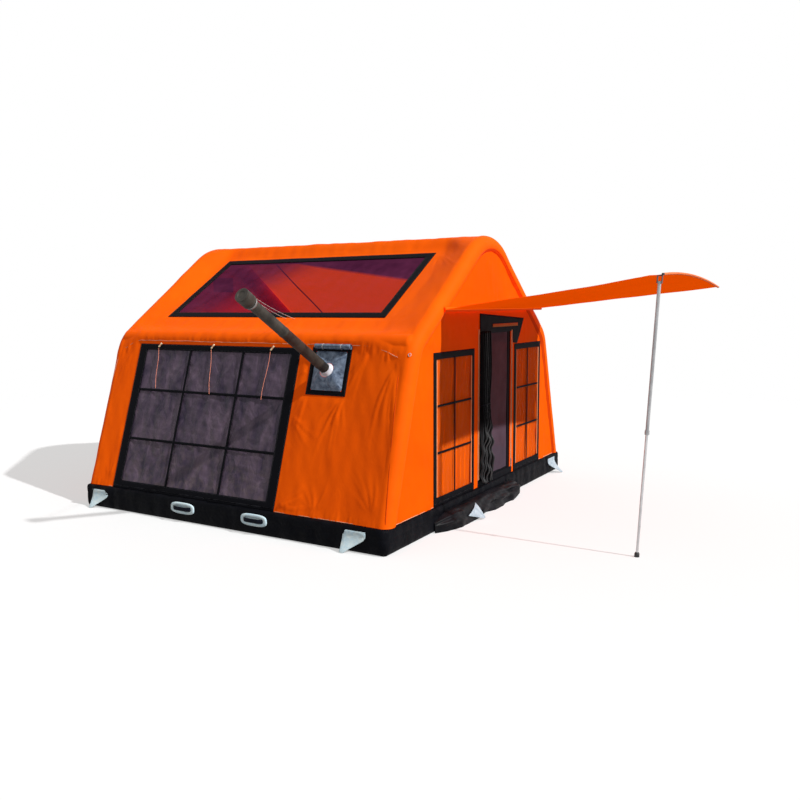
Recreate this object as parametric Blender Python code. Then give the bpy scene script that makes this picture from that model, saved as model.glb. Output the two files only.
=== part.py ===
"""Inflatable cabin tent: a welded base ring, an air frame of five tubes, and sewn skins.

Frame: X runs along the ridge with the door end at +X, Y runs across the tent, Z is up.
The origin is the centre of the floor's underside, on the ground. Lengths are in metres.
The left side is the one at -Y, which carries the big window and the stove jack.
"""
import math

import bmesh
import bpy
from mathutils import Vector

# Clearances and cloth
seat_gap = 0.0003
skin_thickness = 0.004
trim_thickness = 0.004
film_thickness = 0.002

# Base ring and floor
base_length = 3.28
base_width = 3.74
base_height = 0.20
base_tube_width = 0.26
floor_thickness = 0.05
base_section_shares = ((0.90, 0.0), (0.10, 0.0), (0.03, 0.08), (0.0, 0.25), (0.0, 0.875), (0.02, 0.96),
                       (0.09, 1.0), (0.90, 1.0), (0.97, 0.94), (1.0, 0.80), (1.0, 0.20), (0.97, 0.06))

# Door skirt: how far it reaches, where it runs along Y, and its section
skirt_reach = 0.13
skirt_height = 0.145
skirt_start = -1.12
skirt_end = 0.62
skirt_section_shares = ((0.0, 0.0), (0.80, 0.0), (1.0, 0.20), (0.93, 0.50), (0.62, 0.80), (0.20, 1.0),
                        (0.0, 1.0))
skirt_fullness_shares = ((0.0, 0.35), (0.10, 0.90), (0.245, 1.0), (0.644, 1.0), (0.893, 0.85), (1.0, 0.35))

# Air frame
arch_spacing = 3.12
arch_tube_radius = 0.08
arch_foot_half_width = 1.835
eave_half_width = 1.405
eave_height = 1.557
roof_pitch = math.radians(36.0)
eave_bend_radius = 0.25
apex_bend_radius = 0.49
ridge_tube_radius = 0.09
eave_tube_radius = 0.085
eave_tube_inset = 0.083
eave_tube_drop = 0.03
tube_sides = 24

# Skins
wall_set_back = 0.012
gable_set_back = 0.025
roof_skin_pitch = math.radians(32.3)
roof_skin_drop = 0.0262

# Places on the left wall: along X, and up from the ground
big_window_back = -1.312
big_window_front = 0.56
big_window_low = 0.215
big_window_high = 1.49
window_border = 0.095
window_border_top = 0.055
muntin_width = 0.022
big_column_shares = (0.328, 0.694)
big_row_shares = (0.319, 0.692)
window_lap = 0.03
jack_centre_x = 0.873
jack_centre_z = 1.315
jack_size = 0.385
jack_border_width = 0.04
jack_lift = 0.035
jack_hole_clearance = 0.0008
flange_length = 0.035
flange_spread = 0.018
roll_radius = 0.024

# Toggles over the big window, and the cords that hang from them
toggle_radius = 0.008
toggle_length = 0.05
toggle_tilt = math.radians(38)
toggle_places_x_list = (-1.053, -0.405, 0.265)
toggle_drop = 0.012
toggle_cord_radius = 0.002
toggle_cord_length_list = (0.38, 0.40, 0.42)
toggle_cord_drift_list = (0.06, 0.075, -0.01)
toggle_cord_start = 0.02
cord_wave = 0.006

# Places on the door end: along Y, and up from the ground
end_window_left_outer = -1.085
end_window_left_inner = -0.325
end_window_right_inner = 0.585
end_window_right_outer = 1.28
end_window_low = 0.215
end_window_high = 1.458
end_border = 0.05
end_border_top = 0.055
end_muntin_width = 0.018
end_column_shares = (0.5,)
end_row_shares = (0.325, 0.665)
curtain_folds = 9
curtain_depth = 0.022
curtain_thickness = 0.003
curtain_lap = 0.012
door_low_side = -0.215
door_high_side = 0.505
door_top = 1.62
header_top = 1.755
header_low_right = 0.72
header_top_right = 0.80
header_drop = 0.045
placket_width = 0.03

# Door leaf, tied back in folds, and the zip's slider
leaf_depth = 0.05
leaf_folds = 5
leaf_width = 0.225
leaf_bottom = 0.23
leaf_level_shares = ((0.0, 1.0, 1.0), (0.252, 0.95, 0.90), (0.540, 0.86, 0.75), (0.748, 0.92, 0.80),
                     (0.986, 1.0, 0.55))
slider_length = 0.032
slider_width = 0.014
slider_depth = 0.007
puller_length = 0.05

# Skylight on the left roof, along X and down the slope from the ridge
skylight_back = -1.30
skylight_front = 1.166
skylight_from_ridge = 0.215
skylight_length = 1.065
skylight_border = 0.075

# Rear vent
vent_centre = 0.055
vent_half_width = 0.20
vent_low = 1.955
vent_high = 2.175
vent_border = 0.03

# Chimney
pipe_radius = 0.041
pipe_wall = 0.002
pipe_rise = math.radians(30.8)
pipe_outside = 1.10
pipe_inside = 0.25
cap_radius = 0.055
cap_length = 0.10
cap_lap = 0.05
cap_clearance = 0.0008
pipe_sides = 24
collar_gap = 0.012
collar_length = 0.018
collar_radius = 0.047
stay_radius = 0.0016
stay_sag = 0.012
stay_lean_share = 0.35
stay_anchor_x_list = (0.16, 0.25)
stay_anchor_from_ridge = 1.30

# Awning and pole
awning_reach = 1.70
awning_width = 2.17
awning_middle = 0.125
awning_slope = math.radians(8.15)
awning_root_height = 1.80
awning_root_stand = 0.022
awning_bow = 0.045
awning_far_droop = 0.055
awning_thickness = 0.002
hem_rod_radius = 0.008
rod_tip = 0.03
strip_height = 0.04
pole_lean = math.radians(2.9)
pole_outer_radius = 0.0125
pole_bore_radius = 0.0107
pole_inner_radius = 0.010
pole_upper_length = 1.06
pole_insert = 0.12
plug_depth = 0.02
lock_length = 0.03
lock_radius = 0.017
foot_height = 0.035
foot_radius = 0.019

# Bracket under the awning's corner, and the pole's head on its pin
bracket_half = 0.014
bracket_inset = 0.024
bracket_height = 0.05
bracket_wall = 0.004
bracket_stand = 0.0009
pin_radius = 0.004
pin_clearance = 0.0006
head_half = 0.0135
head_drop = 0.0065
eye_radius = 0.0085

# Mesh door
mesh_door_depth = 0.012
mesh_door_border = 0.05
mesh_door_lap = 0.012
net_thickness = 0.0015
sill_clearance = 0.03

# Base fittings
handle_length = 0.27
handle_height = 0.10
handle_centre_z = 0.122
handle_places_share = (-0.12, 0.12)
tab_width = 0.20
tab_top = 0.168
tab_tip_width = 0.035
tab_tip_reach = 0.055
tab_long_share = 0.435
tab_long_front_share = 0.415
tab_end_share = 0.43
skirt_tab_y = -0.49
skirt_tab_stand = 0.0002
grip_lift = 0.034
grip_thickness = 0.012
grip_height = 0.034

# Inflation valve
valve_radius = 0.032
valve_place_y = -0.9
valve_height = 0.11
valve_depth = 0.012
cap_grip_depth = 0.014
cap_share = 0.78

# Overrun of cutters past what they cut
cut_overrun = 0.02

half_length = base_length / 2
half_width = base_width / 2
arch_x = arch_spacing / 2
gable_face = arch_x + arch_tube_radius - gable_set_back
jack_half = jack_size / 2
end_window_spans = ((end_window_left_outer, end_window_left_inner),
                    (end_window_right_inner, end_window_right_outer))
apex_corner = eave_height + eave_half_width * math.tan(roof_pitch)
arch_top = apex_corner - (apex_bend_radius + arch_tube_radius) * (1 / math.cos(roof_pitch) - 1)
roof_skin_peak = arch_top - roof_skin_drop
# A mark past the tent's side: a grid column with this u lies on the arch, wherever that is
edge_mark = 100.0 * base_width


def clear_scene():
    for item in list(bpy.data.objects):
        bpy.data.objects.remove(item, do_unlink=True)


def finish(name, colour, roughness, metallic=0.0, alpha=1.0):
    """A plain Principled material with the photographed colour."""
    made = bpy.data.materials.get(name)
    if made is None:
        made = bpy.data.materials.new(name)
        made.use_nodes = True
        shader = made.node_tree.nodes["Principled BSDF"]
        shader.inputs["Base Color"].default_value = (*colour, 1.0)
        shader.inputs["Roughness"].default_value = roughness
        shader.inputs["Metallic"].default_value = metallic
        shader.inputs["Alpha"].default_value = alpha
        made.diffuse_color = (*colour, 1.0)
    return made


def orange_cloth():
    return finish("orange_cloth", (0.90, 0.18, 0.01), 0.7)


def black_pvc():
    return finish("black_pvc", (0.012, 0.013, 0.017), 0.45)


def window_film():
    return finish("window_film", (0.09, 0.07, 0.09), 0.2, 0.0, 0.6)


def silver_pvc():
    return finish("silver_pvc", (0.45, 0.52, 0.60), 0.5)


def flue_steel():
    return finish("flue_steel", (0.045, 0.040, 0.035), 0.6, 0.6)


def pole_metal():
    return finish("pole_metal", (0.10, 0.10, 0.11), 0.35, 0.8)


def black_plastic():
    return finish("black_plastic", (0.015, 0.015, 0.015), 0.4)


def cream_plastic():
    return finish("cream_plastic", (0.80, 0.62, 0.42), 0.5)


def cord_weave():
    return finish("cord_weave", (0.75, 0.45, 0.42), 0.8)


def make_object(name, shape, material, origin=(0.0, 0.0, 0.0), smooth=True):
    """Turn corner and face lists into one named object whose faces point outwards."""
    corners, faces = shape
    origin = Vector(origin)
    mesh = bpy.data.meshes.new(name)
    mesh.from_pydata([tuple(Vector(c) - origin) for c in corners], [], faces)
    work = bmesh.new()
    work.from_mesh(mesh)
    bmesh.ops.recalc_face_normals(work, faces=work.faces)
    work.to_mesh(mesh)
    work.free()
    if smooth:
        mesh.shade_smooth()
        mesh.set_sharp_from_angle(angle=math.radians(40))
    mesh.materials.append(material)
    made = bpy.data.objects.new(name, mesh)
    made.location = origin
    bpy.context.scene.collection.objects.link(made)
    return made


def joined(*shapes):
    """Several separate solids as one pair of corner and face lists."""
    corners = []
    faces = []
    for more_corners, more_faces in shapes:
        start = len(corners)
        corners.extend(more_corners)
        faces.extend([tuple(start + i for i in face) for face in more_faces])
    return corners, faces


def loft(rings, closed=False):
    """Skin between rings of equal count; open lofts get flat end caps."""
    count = len(rings[0])
    corners = [corner for ring in rings for corner in ring]
    faces = []
    spans = len(rings) if closed else len(rings) - 1
    for k in range(spans):
        here = k * count
        there = ((k + 1) % len(rings)) * count
        for i in range(count):
            j = (i + 1) % count
            faces.append((here + i, here + j, there + j, there + i))
    if not closed:
        faces.append(tuple(reversed(range(count))))
        faces.append(tuple(range((len(rings) - 1) * count, len(rings) * count)))
    return corners, faces


def prism(outline, place, low, high):
    """An outline in a plane, thickened along the plane's normal."""
    return loft([[place(u, v, low) for u, v in outline], [place(u, v, high) for u, v in outline]])


def sheet_grid(us, vs, is_cloth, place, low, high):
    """A thin closed sheet made of cells; cells that are not cloth are holes right through it."""
    index = {}
    corners = []
    faces = []

    def corner(i, j, top):
        key = (i, j, top)
        if key not in index:
            index[key] = len(corners)
            corners.append(place(us[i], vs[j], high if top else low))
        return index[key]

    def cloth(i, j):
        inside = 0 <= i < len(us) - 1 and 0 <= j < len(vs) - 1
        return inside and is_cloth(i, j)

    for i in range(len(us) - 1):
        for j in range(len(vs) - 1):
            if not cloth(i, j):
                continue
            cell = ((i, j), (i + 1, j), (i + 1, j + 1), (i, j + 1))
            faces.append(tuple(corner(a, b, True) for a, b in cell))
            faces.append(tuple(corner(a, b, False) for a, b in reversed(cell)))
            edges = (((i, j), (i + 1, j), (i, j - 1)), ((i + 1, j), (i + 1, j + 1), (i + 1, j)),
                     ((i + 1, j + 1), (i, j + 1), (i, j + 1)), ((i, j + 1), (i, j), (i - 1, j)))
            for first, second, neighbour in edges:
                if not cloth(*neighbour):
                    faces.append((corner(*first, False), corner(*second, False),
                                  corner(*second, True), corner(*first, True)))
    return corners, faces


def plane(origin, u_axis, v_axis):
    """A function that places (u, v, w): w is the height over the plane, along u x v."""
    origin = Vector(origin)
    u_axis = Vector(u_axis).normalized()
    v_axis = Vector(v_axis).normalized()
    w_axis = u_axis.cross(v_axis)

    def place(u, v, w):
        return origin + u_axis * u + v_axis * v + w_axis * w

    return place


def cut_list(low, high, *inner):
    """Grid lines from low to high with the given lines between them, in order."""
    return [low] + sorted(value for value in inner if low < value < high) + [high]


def between(lines, i, low, high):
    middle = (lines[i] + lines[i + 1]) / 2
    return low < middle < high


def rounded_path(corners, radii, steps):
    """A polyline in a plane with its inner corners turned into arcs of the given radii."""
    path = [Vector(corners[0])]
    for k in range(1, len(corners) - 1):
        before = (Vector(corners[k - 1]) - Vector(corners[k])).normalized()
        after = (Vector(corners[k + 1]) - Vector(corners[k])).normalized()
        half = before.angle(after) / 2
        middle = (before + after).normalized()
        centre = Vector(corners[k]) + middle * (radii[k - 1] / math.sin(half))
        start = Vector(corners[k]) + before * (radii[k - 1] / math.tan(half)) - centre
        turn = math.pi - 2 * half
        sense = 1 if before.cross(after) < 0 else -1
        for step in range(steps[k - 1] + 1):
            angle = sense * turn * step / steps[k - 1]
            spun = Vector((start.x * math.cos(angle) - start.y * math.sin(angle),
                           start.x * math.sin(angle) + start.y * math.cos(angle)))
            path.append(centre + spun)
    path.append(Vector(corners[-1]))
    return path


def arch_corners(inset):
    """Corners (y, z) of the arch's outline, moved in from its outer surface by inset."""
    lines = []
    for side in (-1, 1):
        foot = Vector((side * arch_foot_half_width, base_height))
        eave = Vector((side * eave_half_width, eave_height))
        up = (eave - foot).normalized()
        inward = Vector((-side * up.y, side * up.x))
        slope = Vector((-side * math.cos(roof_pitch), math.sin(roof_pitch)))
        under = Vector((-side * math.sin(roof_pitch), -math.cos(roof_pitch)))
        lines.append((foot + inward * inset, up, eave + under * inset, slope))
    corners = []
    for start, up, rafter, slope in lines:
        spread = up.cross(slope)
        along = (rafter - start).cross(slope) / spread
        foot = start + up * ((base_height - start.y) / up.y)
        corners.append((foot, start + up * along, rafter, slope))
    near, far = corners
    reach = (far[2] - near[2]).cross(far[3]) / near[3].cross(far[3])
    apex = near[2] + near[3] * reach
    return [near[0], near[1], apex, far[1], far[0]]


def arch_path(inset, eave_steps=4, apex_steps=8):
    """The arch's rounded line (y, z) from the left foot over the ridge to the right foot."""
    deeper = inset - arch_tube_radius
    radii = (eave_bend_radius - deeper, apex_bend_radius - deeper, eave_bend_radius - deeper)
    return rounded_path(arch_corners(inset), radii, (eave_steps, apex_steps, eave_steps))


def outline_at(path, z, side):
    """The y of the rounded arch line at height z, on the side -1 or 1."""
    best = 0.0
    for first, second in zip(path[:-1], path[1:]):
        low, high = sorted((first.y, second.y))
        if low <= z <= high and high > low:
            share = (z - first.y) / (second.y - first.y)
            y = first.x + (second.x - first.x) * share
            if side * y > side * best:
                best = y
    return best


def section_ring(point, tangent, radius, sides, flat_axis):
    """A ring of points about a point on a path; flat_axis is square to the path's plane."""
    flat = Vector(flat_axis)
    across = flat.cross(tangent).normalized()
    return [point + flat * (radius * math.cos(2 * math.pi * k / sides))
            + across * (radius * math.sin(2 * math.pi * k / sides)) for k in range(sides)]


def tube_along(points, radius, sides, flat_axis):
    """A round tube along points that lie in the plane square to flat_axis."""
    rings = []
    for k, point in enumerate(points):
        before = points[max(k - 1, 0)]
        after = points[min(k + 1, len(points) - 1)]
        first = (point - before).normalized() if k > 0 else (after - point).normalized()
        second = (after - point).normalized() if k < len(points) - 1 else first
        tangent = (first + second).normalized()
        widen = 1 / max(tangent.dot(first), 0.5)
        ring = section_ring(point, tangent, radius, sides, flat_axis)
        centre_out = Vector(flat_axis)
        rings.append([point + centre_out * (corner - point).dot(centre_out)
                      + (corner - point - centre_out * (corner - point).dot(centre_out)) * widen
                      for corner in ring])
    return rings


def arch_rings(x, radius, foot_z):
    """Rings of an arch tube whose ends are cut level at foot_z."""
    path = [Vector((x, point.x, point.y)) for point in arch_path(arch_tube_radius)]
    rings = tube_along(path, radius, tube_sides, (1.0, 0.0, 0.0))
    for ring, inner in ((0, 1), (-1, -2)):
        run = (path[inner] - path[ring]).normalized()
        rings[ring] = [corner + run * ((foot_z - corner.z) / run.z) for corner in rings[ring]]
    return rings


def straight_tube(start, end, radius, sides):
    """A capped straight round tube."""
    start = Vector(start)
    end = Vector(end)
    run = (end - start).normalized()
    side = run.orthogonal().normalized()
    return loft([section_ring(point, run, radius, sides, side) for point in (start, end)])


def hollow_tube(start, end, radius, bore, sides, closed_end=None):
    """A straight tube with a bore; closed_end leaves a plug of that depth at the end."""
    start = Vector(start)
    end = Vector(end)
    run = (end - start).normalized()
    side = run.orthogonal().normalized()
    if closed_end is None:
        stations = ((start, radius), (end, radius), (end, bore), (start, bore))
        return loft([section_ring(point, run, size, sides, side) for point, size in stations], closed=True)
    stop = end - run * closed_end
    stations = ((stop, bore), (start, bore), (start, radius), (end, radius))
    return loft([section_ring(point, run, size, sides, side) for point, size in stations])


def cutter(name, shape):
    made = make_object(name, shape, black_plastic(), smooth=False)
    made.hide_render = True
    made.display_type = "WIRE"
    return made


def join_to(target, tool):
    boolean = target.modifiers.new("join", "BOOLEAN")
    boolean.operation = "UNION"
    boolean.solver = "EXACT"
    boolean.object = tool


def cut_by(target, tool):
    boolean = target.modifiers.new("cut", "BOOLEAN")
    boolean.operation = "DIFFERENCE"
    boolean.solver = "EXACT"
    boolean.object = tool


# Base ring, floor and skirt


def make_base_ring():
    """The welded ring the tent stands on: flat on the ground and full on its outer side."""
    rings = []
    for x_side, y_side in ((-1, -1), (1, -1), (1, 1), (-1, 1)):
        ring = []
        for inward_share, height_share in base_section_shares:
            inward = inward_share * base_tube_width
            ring.append(Vector((x_side * (half_length - inward), y_side * (half_width - inward),
                                height_share * base_height)))
        rings.append(ring)
    make_object("base_ring", loft(rings, closed=True), black_pvc())


def make_floor():
    reach_x = half_length - base_tube_width - seat_gap
    reach_y = half_width - base_tube_width - seat_gap
    outline = ((-reach_x, -reach_y), (reach_x, -reach_y), (reach_x, reach_y), (-reach_x, reach_y))
    place = plane((0.0, 0.0, 0.0), (1.0, 0.0, 0.0), (0.0, 1.0, 0.0))
    make_object("floor_deck", prism(outline, place, 0.0, floor_thickness), black_pvc(), smooth=False)


def make_door_skirt():
    """The slack roll of black PVC that lies against the base ring under the door."""
    low = half_length + seat_gap
    rings = []
    for along_share, fullness_share in skirt_fullness_shares:
        y = skirt_start + (skirt_end - skirt_start) * along_share
        rings.append([Vector((low + out * skirt_reach * fullness_share, y, up * skirt_height))
                      for out, up in skirt_section_shares])
    make_object("door_skirt", loft(rings), black_pvc())


# Air frame

def frame_lines():
    """Centres of the ridge tube and of the eave tube on each side, as (y, z)."""
    top = max(point.y for point in arch_path(0.0, apex_steps=16))
    ridge = Vector((0.0, top - ridge_tube_radius))
    eaves = {side: Vector((side * (eave_half_width - eave_tube_inset), eave_height - eave_tube_drop))
             for side in (-1, 1)}
    return ridge, eaves


def make_arches():
    foot = base_height + seat_gap
    make_object("front_arch_tube", loft(arch_rings(arch_x, arch_tube_radius, foot)), orange_cloth())
    make_object("rear_arch_tube", loft(arch_rings(-arch_x, arch_tube_radius, foot)), orange_cloth())


def make_long_tube(name, centre, radius):
    """A ridge or eave tube, its ends hollowed to sit round both arches."""
    reach = arch_x - arch_tube_radius * 0.35
    tube = make_object(name, straight_tube((-reach, centre.x, centre.y), (reach, centre.x, centre.y),
                                           radius, tube_sides), orange_cloth())
    for x in (-arch_x, arch_x):
        tool = cutter(f"{name}_saddle_{'front' if x > 0 else 'rear'}",
                      loft(arch_rings(x, arch_tube_radius + seat_gap * 2, base_height)))
        cut_by(tube, tool)


def wall_plane(side):
    """The skin plane of a long wall: u along X, v up the slope, w outwards."""
    corners = arch_corners(wall_set_back)
    foot, eave = (corners[0], corners[1]) if side < 0 else (corners[4], corners[3])
    u_axis = (-side, 0.0, 0.0)
    rise = eave - foot
    place = plane((0.0, foot.x, foot.y), u_axis, (0.0, rise.x, rise.y))
    return place, rise.y / rise.length, foot, rise.normalized()


def line_edge(start, run, centre, radius):
    """How far along a line from start it first comes within radius of centre."""
    offset = centre - start
    along = offset.dot(run)
    apart = abs(offset.cross(run))
    return along - math.sqrt(max(radius * radius - apart * apart, 0.0))


def wall_limits(side):
    """Top of the wall skin on the eave tube's flank, and its half length between the arches."""
    place, rise, foot, run = wall_plane(side)
    _ridge, eaves = frame_lines()
    outward = Vector((-run.y * -side, run.x * -side))
    inner_start = foot - outward * skin_thickness
    top = min(line_edge(foot, run, eaves[side], eave_tube_radius + seat_gap),
              line_edge(inner_start, run, eaves[side], eave_tube_radius + seat_gap))
    depth = arch_tube_radius - wall_set_back - skin_thickness
    reach = arch_x - math.sqrt(arch_tube_radius ** 2 - depth ** 2) - seat_gap * 2
    return top, reach


def wall_foot(side):
    """Where a wall skin starts up its slope, so that its inner edge clears the base ring."""
    _place, _rise, _foot, run = wall_plane(side)
    return seat_gap + skin_thickness * abs(run.x) / run.y


def up_wall(side, z):
    """Distance up the wall's slope for a height over the ground."""
    _place, rise, _foot, _run = wall_plane(side)
    return (z - base_height) / rise


def make_left_wall():
    place, _rise, _foot, _run = wall_plane(-1)
    top, reach = wall_limits(-1)
    film_low_x, film_high_x, film_low, film_high = big_film_limits()
    jack_low = up_wall(-1, jack_centre_z - jack_half) + jack_border_width
    jack_high = up_wall(-1, jack_centre_z + jack_half) - jack_border_width
    jack_back = jack_centre_x - jack_half + jack_border_width
    jack_front = jack_centre_x + jack_half - jack_border_width
    us = cut_list(-reach, reach, film_low_x, film_high_x, jack_back, jack_front)
    vs = cut_list(wall_foot(-1), top, film_low, film_high, jack_low, jack_high)

    def is_cloth(i, j):
        in_window = between(us, i, film_low_x, film_high_x) and between(vs, j, film_low, film_high)
        in_jack = between(us, i, jack_back, jack_front) and between(vs, j, jack_low, jack_high)
        return not (in_window or in_jack)

    make_object("wall_skin_left", sheet_grid(us, vs, is_cloth, place, -skin_thickness, 0.0), orange_cloth(),
                smooth=False)


def make_right_wall():
    place, _rise, _foot, _run = wall_plane(1)
    top, reach = wall_limits(1)
    shape = sheet_grid([-reach, 0.0, reach], [wall_foot(1), top / 2, top], lambda i, j: True, place,
                       -skin_thickness, 0.0)
    make_object("wall_skin_right", shape, orange_cloth(), smooth=False)


def roof_plane(side):
    """The skin plane of a roof half: u along X, v up the slope to the peak line, w outwards."""
    run = Vector((-side * math.cos(roof_skin_pitch), math.sin(roof_skin_pitch)))
    peak = Vector((0.0, roof_skin_peak))
    return plane((0.0, peak.x, peak.y), (-side, 0.0, 0.0), (0.0, run.x, run.y)), peak, run


def roof_limits(side):
    """Lower and upper edges of a roof skin, measured up the slope from the peak line, and its reach."""
    _place, peak, run = roof_plane(side)
    ridge, eaves = frame_lines()
    outward = Vector((side * math.sin(roof_skin_pitch), math.cos(roof_skin_pitch)))
    lows = []
    highs = []
    for start in (peak, peak - outward * skin_thickness):
        lows.append(-line_edge(start, -run, eaves[side], eave_tube_radius + seat_gap))
        highs.append(-line_exit(start, -run, ridge, ridge_tube_radius + seat_gap))
    reach = arch_x - arch_tube_radius * 0.5
    return max(lows), min(highs), reach


def line_exit(start, run, centre, radius):
    """How far along a line from start it leaves the circle about centre."""
    offset = centre - start
    along = offset.dot(run)
    apart = abs(offset.cross(run))
    return along + math.sqrt(max(radius * radius - apart * apart, 0.0))


def skylight_limits():
    """Film edges of the skylight: u low, u high, v low, v high on the left roof plane."""
    high = -skylight_from_ridge - skylight_border
    low = -skylight_from_ridge - skylight_length + skylight_border
    return skylight_back + skylight_border, skylight_front - skylight_border, low, high


def make_roofs():
    for side, name in ((-1, "roof_skin_left"), (1, "roof_skin_right")):
        place, _peak, _run = roof_plane(side)
        low, high, reach = roof_limits(side)
        if side < 0:
            u_low, u_high, v_low, v_high = skylight_limits()
            us = cut_list(-reach, reach, u_low, u_high)
            vs = cut_list(low, high, v_low, v_high)
            shape = sheet_grid(us, vs, lambda i, j: not (between(us, i, u_low, u_high)
                                                         and between(vs, j, v_low, v_high)),
                               place, -skin_thickness, 0.0)
        else:
            shape = sheet_grid([-reach, 0.0, reach], [low, (low + high) / 2, high], lambda i, j: True,
                               place, -skin_thickness, 0.0)
        roof = make_object(name, shape, orange_cloth(), smooth=False)
        for x in (-arch_x, arch_x):
            cut_by(roof, cutter(f"{name}_edge_{'front' if x > 0 else 'rear'}",
                                loft(arch_rings(x, arch_tube_radius + seat_gap * 2, base_height))))


def gable_edges():
    """The line that bounds a gable skin: where its inner face meets the arch tube, as (y, z) points."""
    depth = gable_face - skin_thickness - arch_x
    inset = arch_tube_radius + math.sqrt(arch_tube_radius ** 2 - depth ** 2) + seat_gap * 2
    return arch_path(inset, apex_steps=8)


def gable_place(end, shrink_from, fixed_half=0.0, fixed_top=0.0):
    """Places gable points: u is y or an edge mark, v is z.

    Columns further out than fixed_half close in on the arch above shrink_from, and the
    columns inside it do so above fixed_top.
    """
    path = gable_edges()
    base_span = outline_at(path, shrink_from, 1)
    fixed_span = outline_at(path, max(fixed_top, shrink_from), 1)

    def place(u, v, w):
        side = math.copysign(1, u)
        edge = outline_at(path, v, 1)
        inner = fixed_half * min(edge / fixed_span, 1.0)
        if abs(u) > base_width:
            y = side * edge
        elif abs(u) < fixed_half:
            y = u * inner / fixed_half
        elif v > shrink_from:
            y = side * (inner + (abs(u) - fixed_half) * (edge - inner) / (base_span - fixed_half))
        else:
            y = u
        return Vector((end * (gable_face + w), y, v))

    return place


def gable_levels(*heights):
    """Heights of the gable grid rows from the base ring to the peak."""
    path = gable_edges()
    levels = {base_height + seat_gap}
    levels.update(heights)
    levels.update(point.y for point in path if point.x > 0 and point.y > base_height + seat_gap)
    peak = max(point.y for point in path) - trim_thickness
    levels.add(peak)
    return sorted(level for level in levels if level <= peak + seat_gap)


def make_front_gable():
    windows, low, high = end_film_limits()
    ys = sorted([edge for window in windows for edge in window] + [door_low_side, door_high_side])
    us = [-edge_mark] + ys + [edge_mark]
    vs = gable_levels(low, high, door_top)

    def is_cloth(i, j):
        if i in (0, len(us) - 2):
            return True
        if between(us, i, door_low_side, door_high_side):
            return (vs[j] + vs[j + 1]) / 2 > door_top
        for start, end in windows:
            if between(us, i, start, end) and between(vs, j, low, high):
                return False
        return True

    place = gable_place(1, high, door_high_side + seat_gap, door_top)
    shape = sheet_grid(us, vs, is_cloth, place, -skin_thickness, 0.0)
    make_object("gable_skin_front", shape, orange_cloth(), smooth=False)


def make_rear_gable():
    ys = [vent_centre - vent_half_width + vent_border, vent_centre + vent_half_width - vent_border]
    us = [-edge_mark] + ys + [edge_mark]
    low = vent_low + vent_border
    high = vent_high - vent_border
    vs = gable_levels(low, high)
    shape = sheet_grid(us, vs, lambda i, j: not (i == 1 and between(vs, j, low, high)),
                       gable_place(-1, vent_low), -skin_thickness, 0.0)
    make_object("gable_skin_rear", shape, orange_cloth(), smooth=False)


# Windows

def barred_frame(us, vs, place, low, high):
    """A border with glazing bars: odd cells in both directions are panes, and stay open."""
    return sheet_grid(us, vs, lambda i, j: not (i % 2 == 1 and j % 2 == 1), place, low, high)


def bar_lines(low, high, border_low, border_high, shares, bar):
    """Grid lines of a border with bars at the given shares of the clear width."""
    inner_low = low + border_low
    inner_high = high - border_high
    lines = [low, inner_low]
    for share in shares:
        middle = inner_low + (inner_high - inner_low) * share
        lines.extend((middle - bar / 2, middle + bar / 2))
    return lines + [inner_high, high]


def big_film_limits():
    """Hole in the left wall for the big window's film: u low, u high, v low, v high."""
    lap = window_border - window_lap
    top_lap = window_border_top - window_lap
    return (big_window_back + lap, big_window_front - lap,
            up_wall(-1, big_window_low) + top_lap, up_wall(-1, big_window_high) - top_lap)


def make_big_window():
    place, _rise, _foot, _run = wall_plane(-1)
    us = bar_lines(big_window_back, big_window_front, window_border, window_border, big_column_shares,
                   muntin_width)
    vs = bar_lines(up_wall(-1, big_window_low), up_wall(-1, big_window_high), window_border_top,
                   window_border_top, big_row_shares, muntin_width)
    make_object("big_window_frame", barred_frame(us, vs, place, seat_gap, seat_gap + trim_thickness),
                black_pvc(), smooth=False)
    u_low, u_high, v_low, v_high = big_film_limits()
    outline = ((u_low + seat_gap, v_low + seat_gap), (u_high - seat_gap, v_low + seat_gap),
               (u_high - seat_gap, v_high - seat_gap), (u_low + seat_gap, v_high - seat_gap))
    make_object("big_window_film", prism(outline, place, -film_thickness, 0.0), window_film(), smooth=False)


def make_skylight():
    place, _peak, _run = roof_plane(-1)
    v_high = -skylight_from_ridge
    v_low = -skylight_from_ridge - skylight_length
    border = skylight_border + window_lap
    us = bar_lines(skylight_back, skylight_front, border, border, (), 0.0)
    vs = bar_lines(v_low, v_high, border, border, (), 0.0)
    make_object("skylight_frame", barred_frame(us, vs, place, seat_gap, seat_gap + trim_thickness),
                black_pvc(), smooth=False)
    u_low, u_high, f_low, f_high = skylight_limits()
    outline = ((u_low + seat_gap, f_low + seat_gap), (u_high - seat_gap, f_low + seat_gap),
               (u_high - seat_gap, f_high - seat_gap), (u_low + seat_gap, f_high - seat_gap))
    make_object("skylight_film", prism(outline, place, -film_thickness, 0.0), window_film(), smooth=False)


def make_vent():
    """The small netted window high on the rear gable."""
    place = gable_place(-1, vent_low)
    film_us = [vent_centre - vent_half_width + vent_border + seat_gap * 2,
               vent_centre + vent_half_width - vent_border - seat_gap * 2]
    film_vs = [vent_low + vent_border + seat_gap, vent_high - vent_border - seat_gap]
    film = sheet_grid(film_us, film_vs, lambda i, j: True, place, -film_thickness, 0.0)
    make_object("rear_vent_window", film, window_film(), smooth=False)


def end_film_limits():
    """Holes for the end windows' film: y low and y high of each, and the shared z low and z high."""
    lap = end_border - window_lap
    top_lap = end_border_top - window_lap
    spans = [(low + lap, high - lap) for low, high in end_window_spans]
    return spans, end_window_low + top_lap, end_window_high - top_lap


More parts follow.
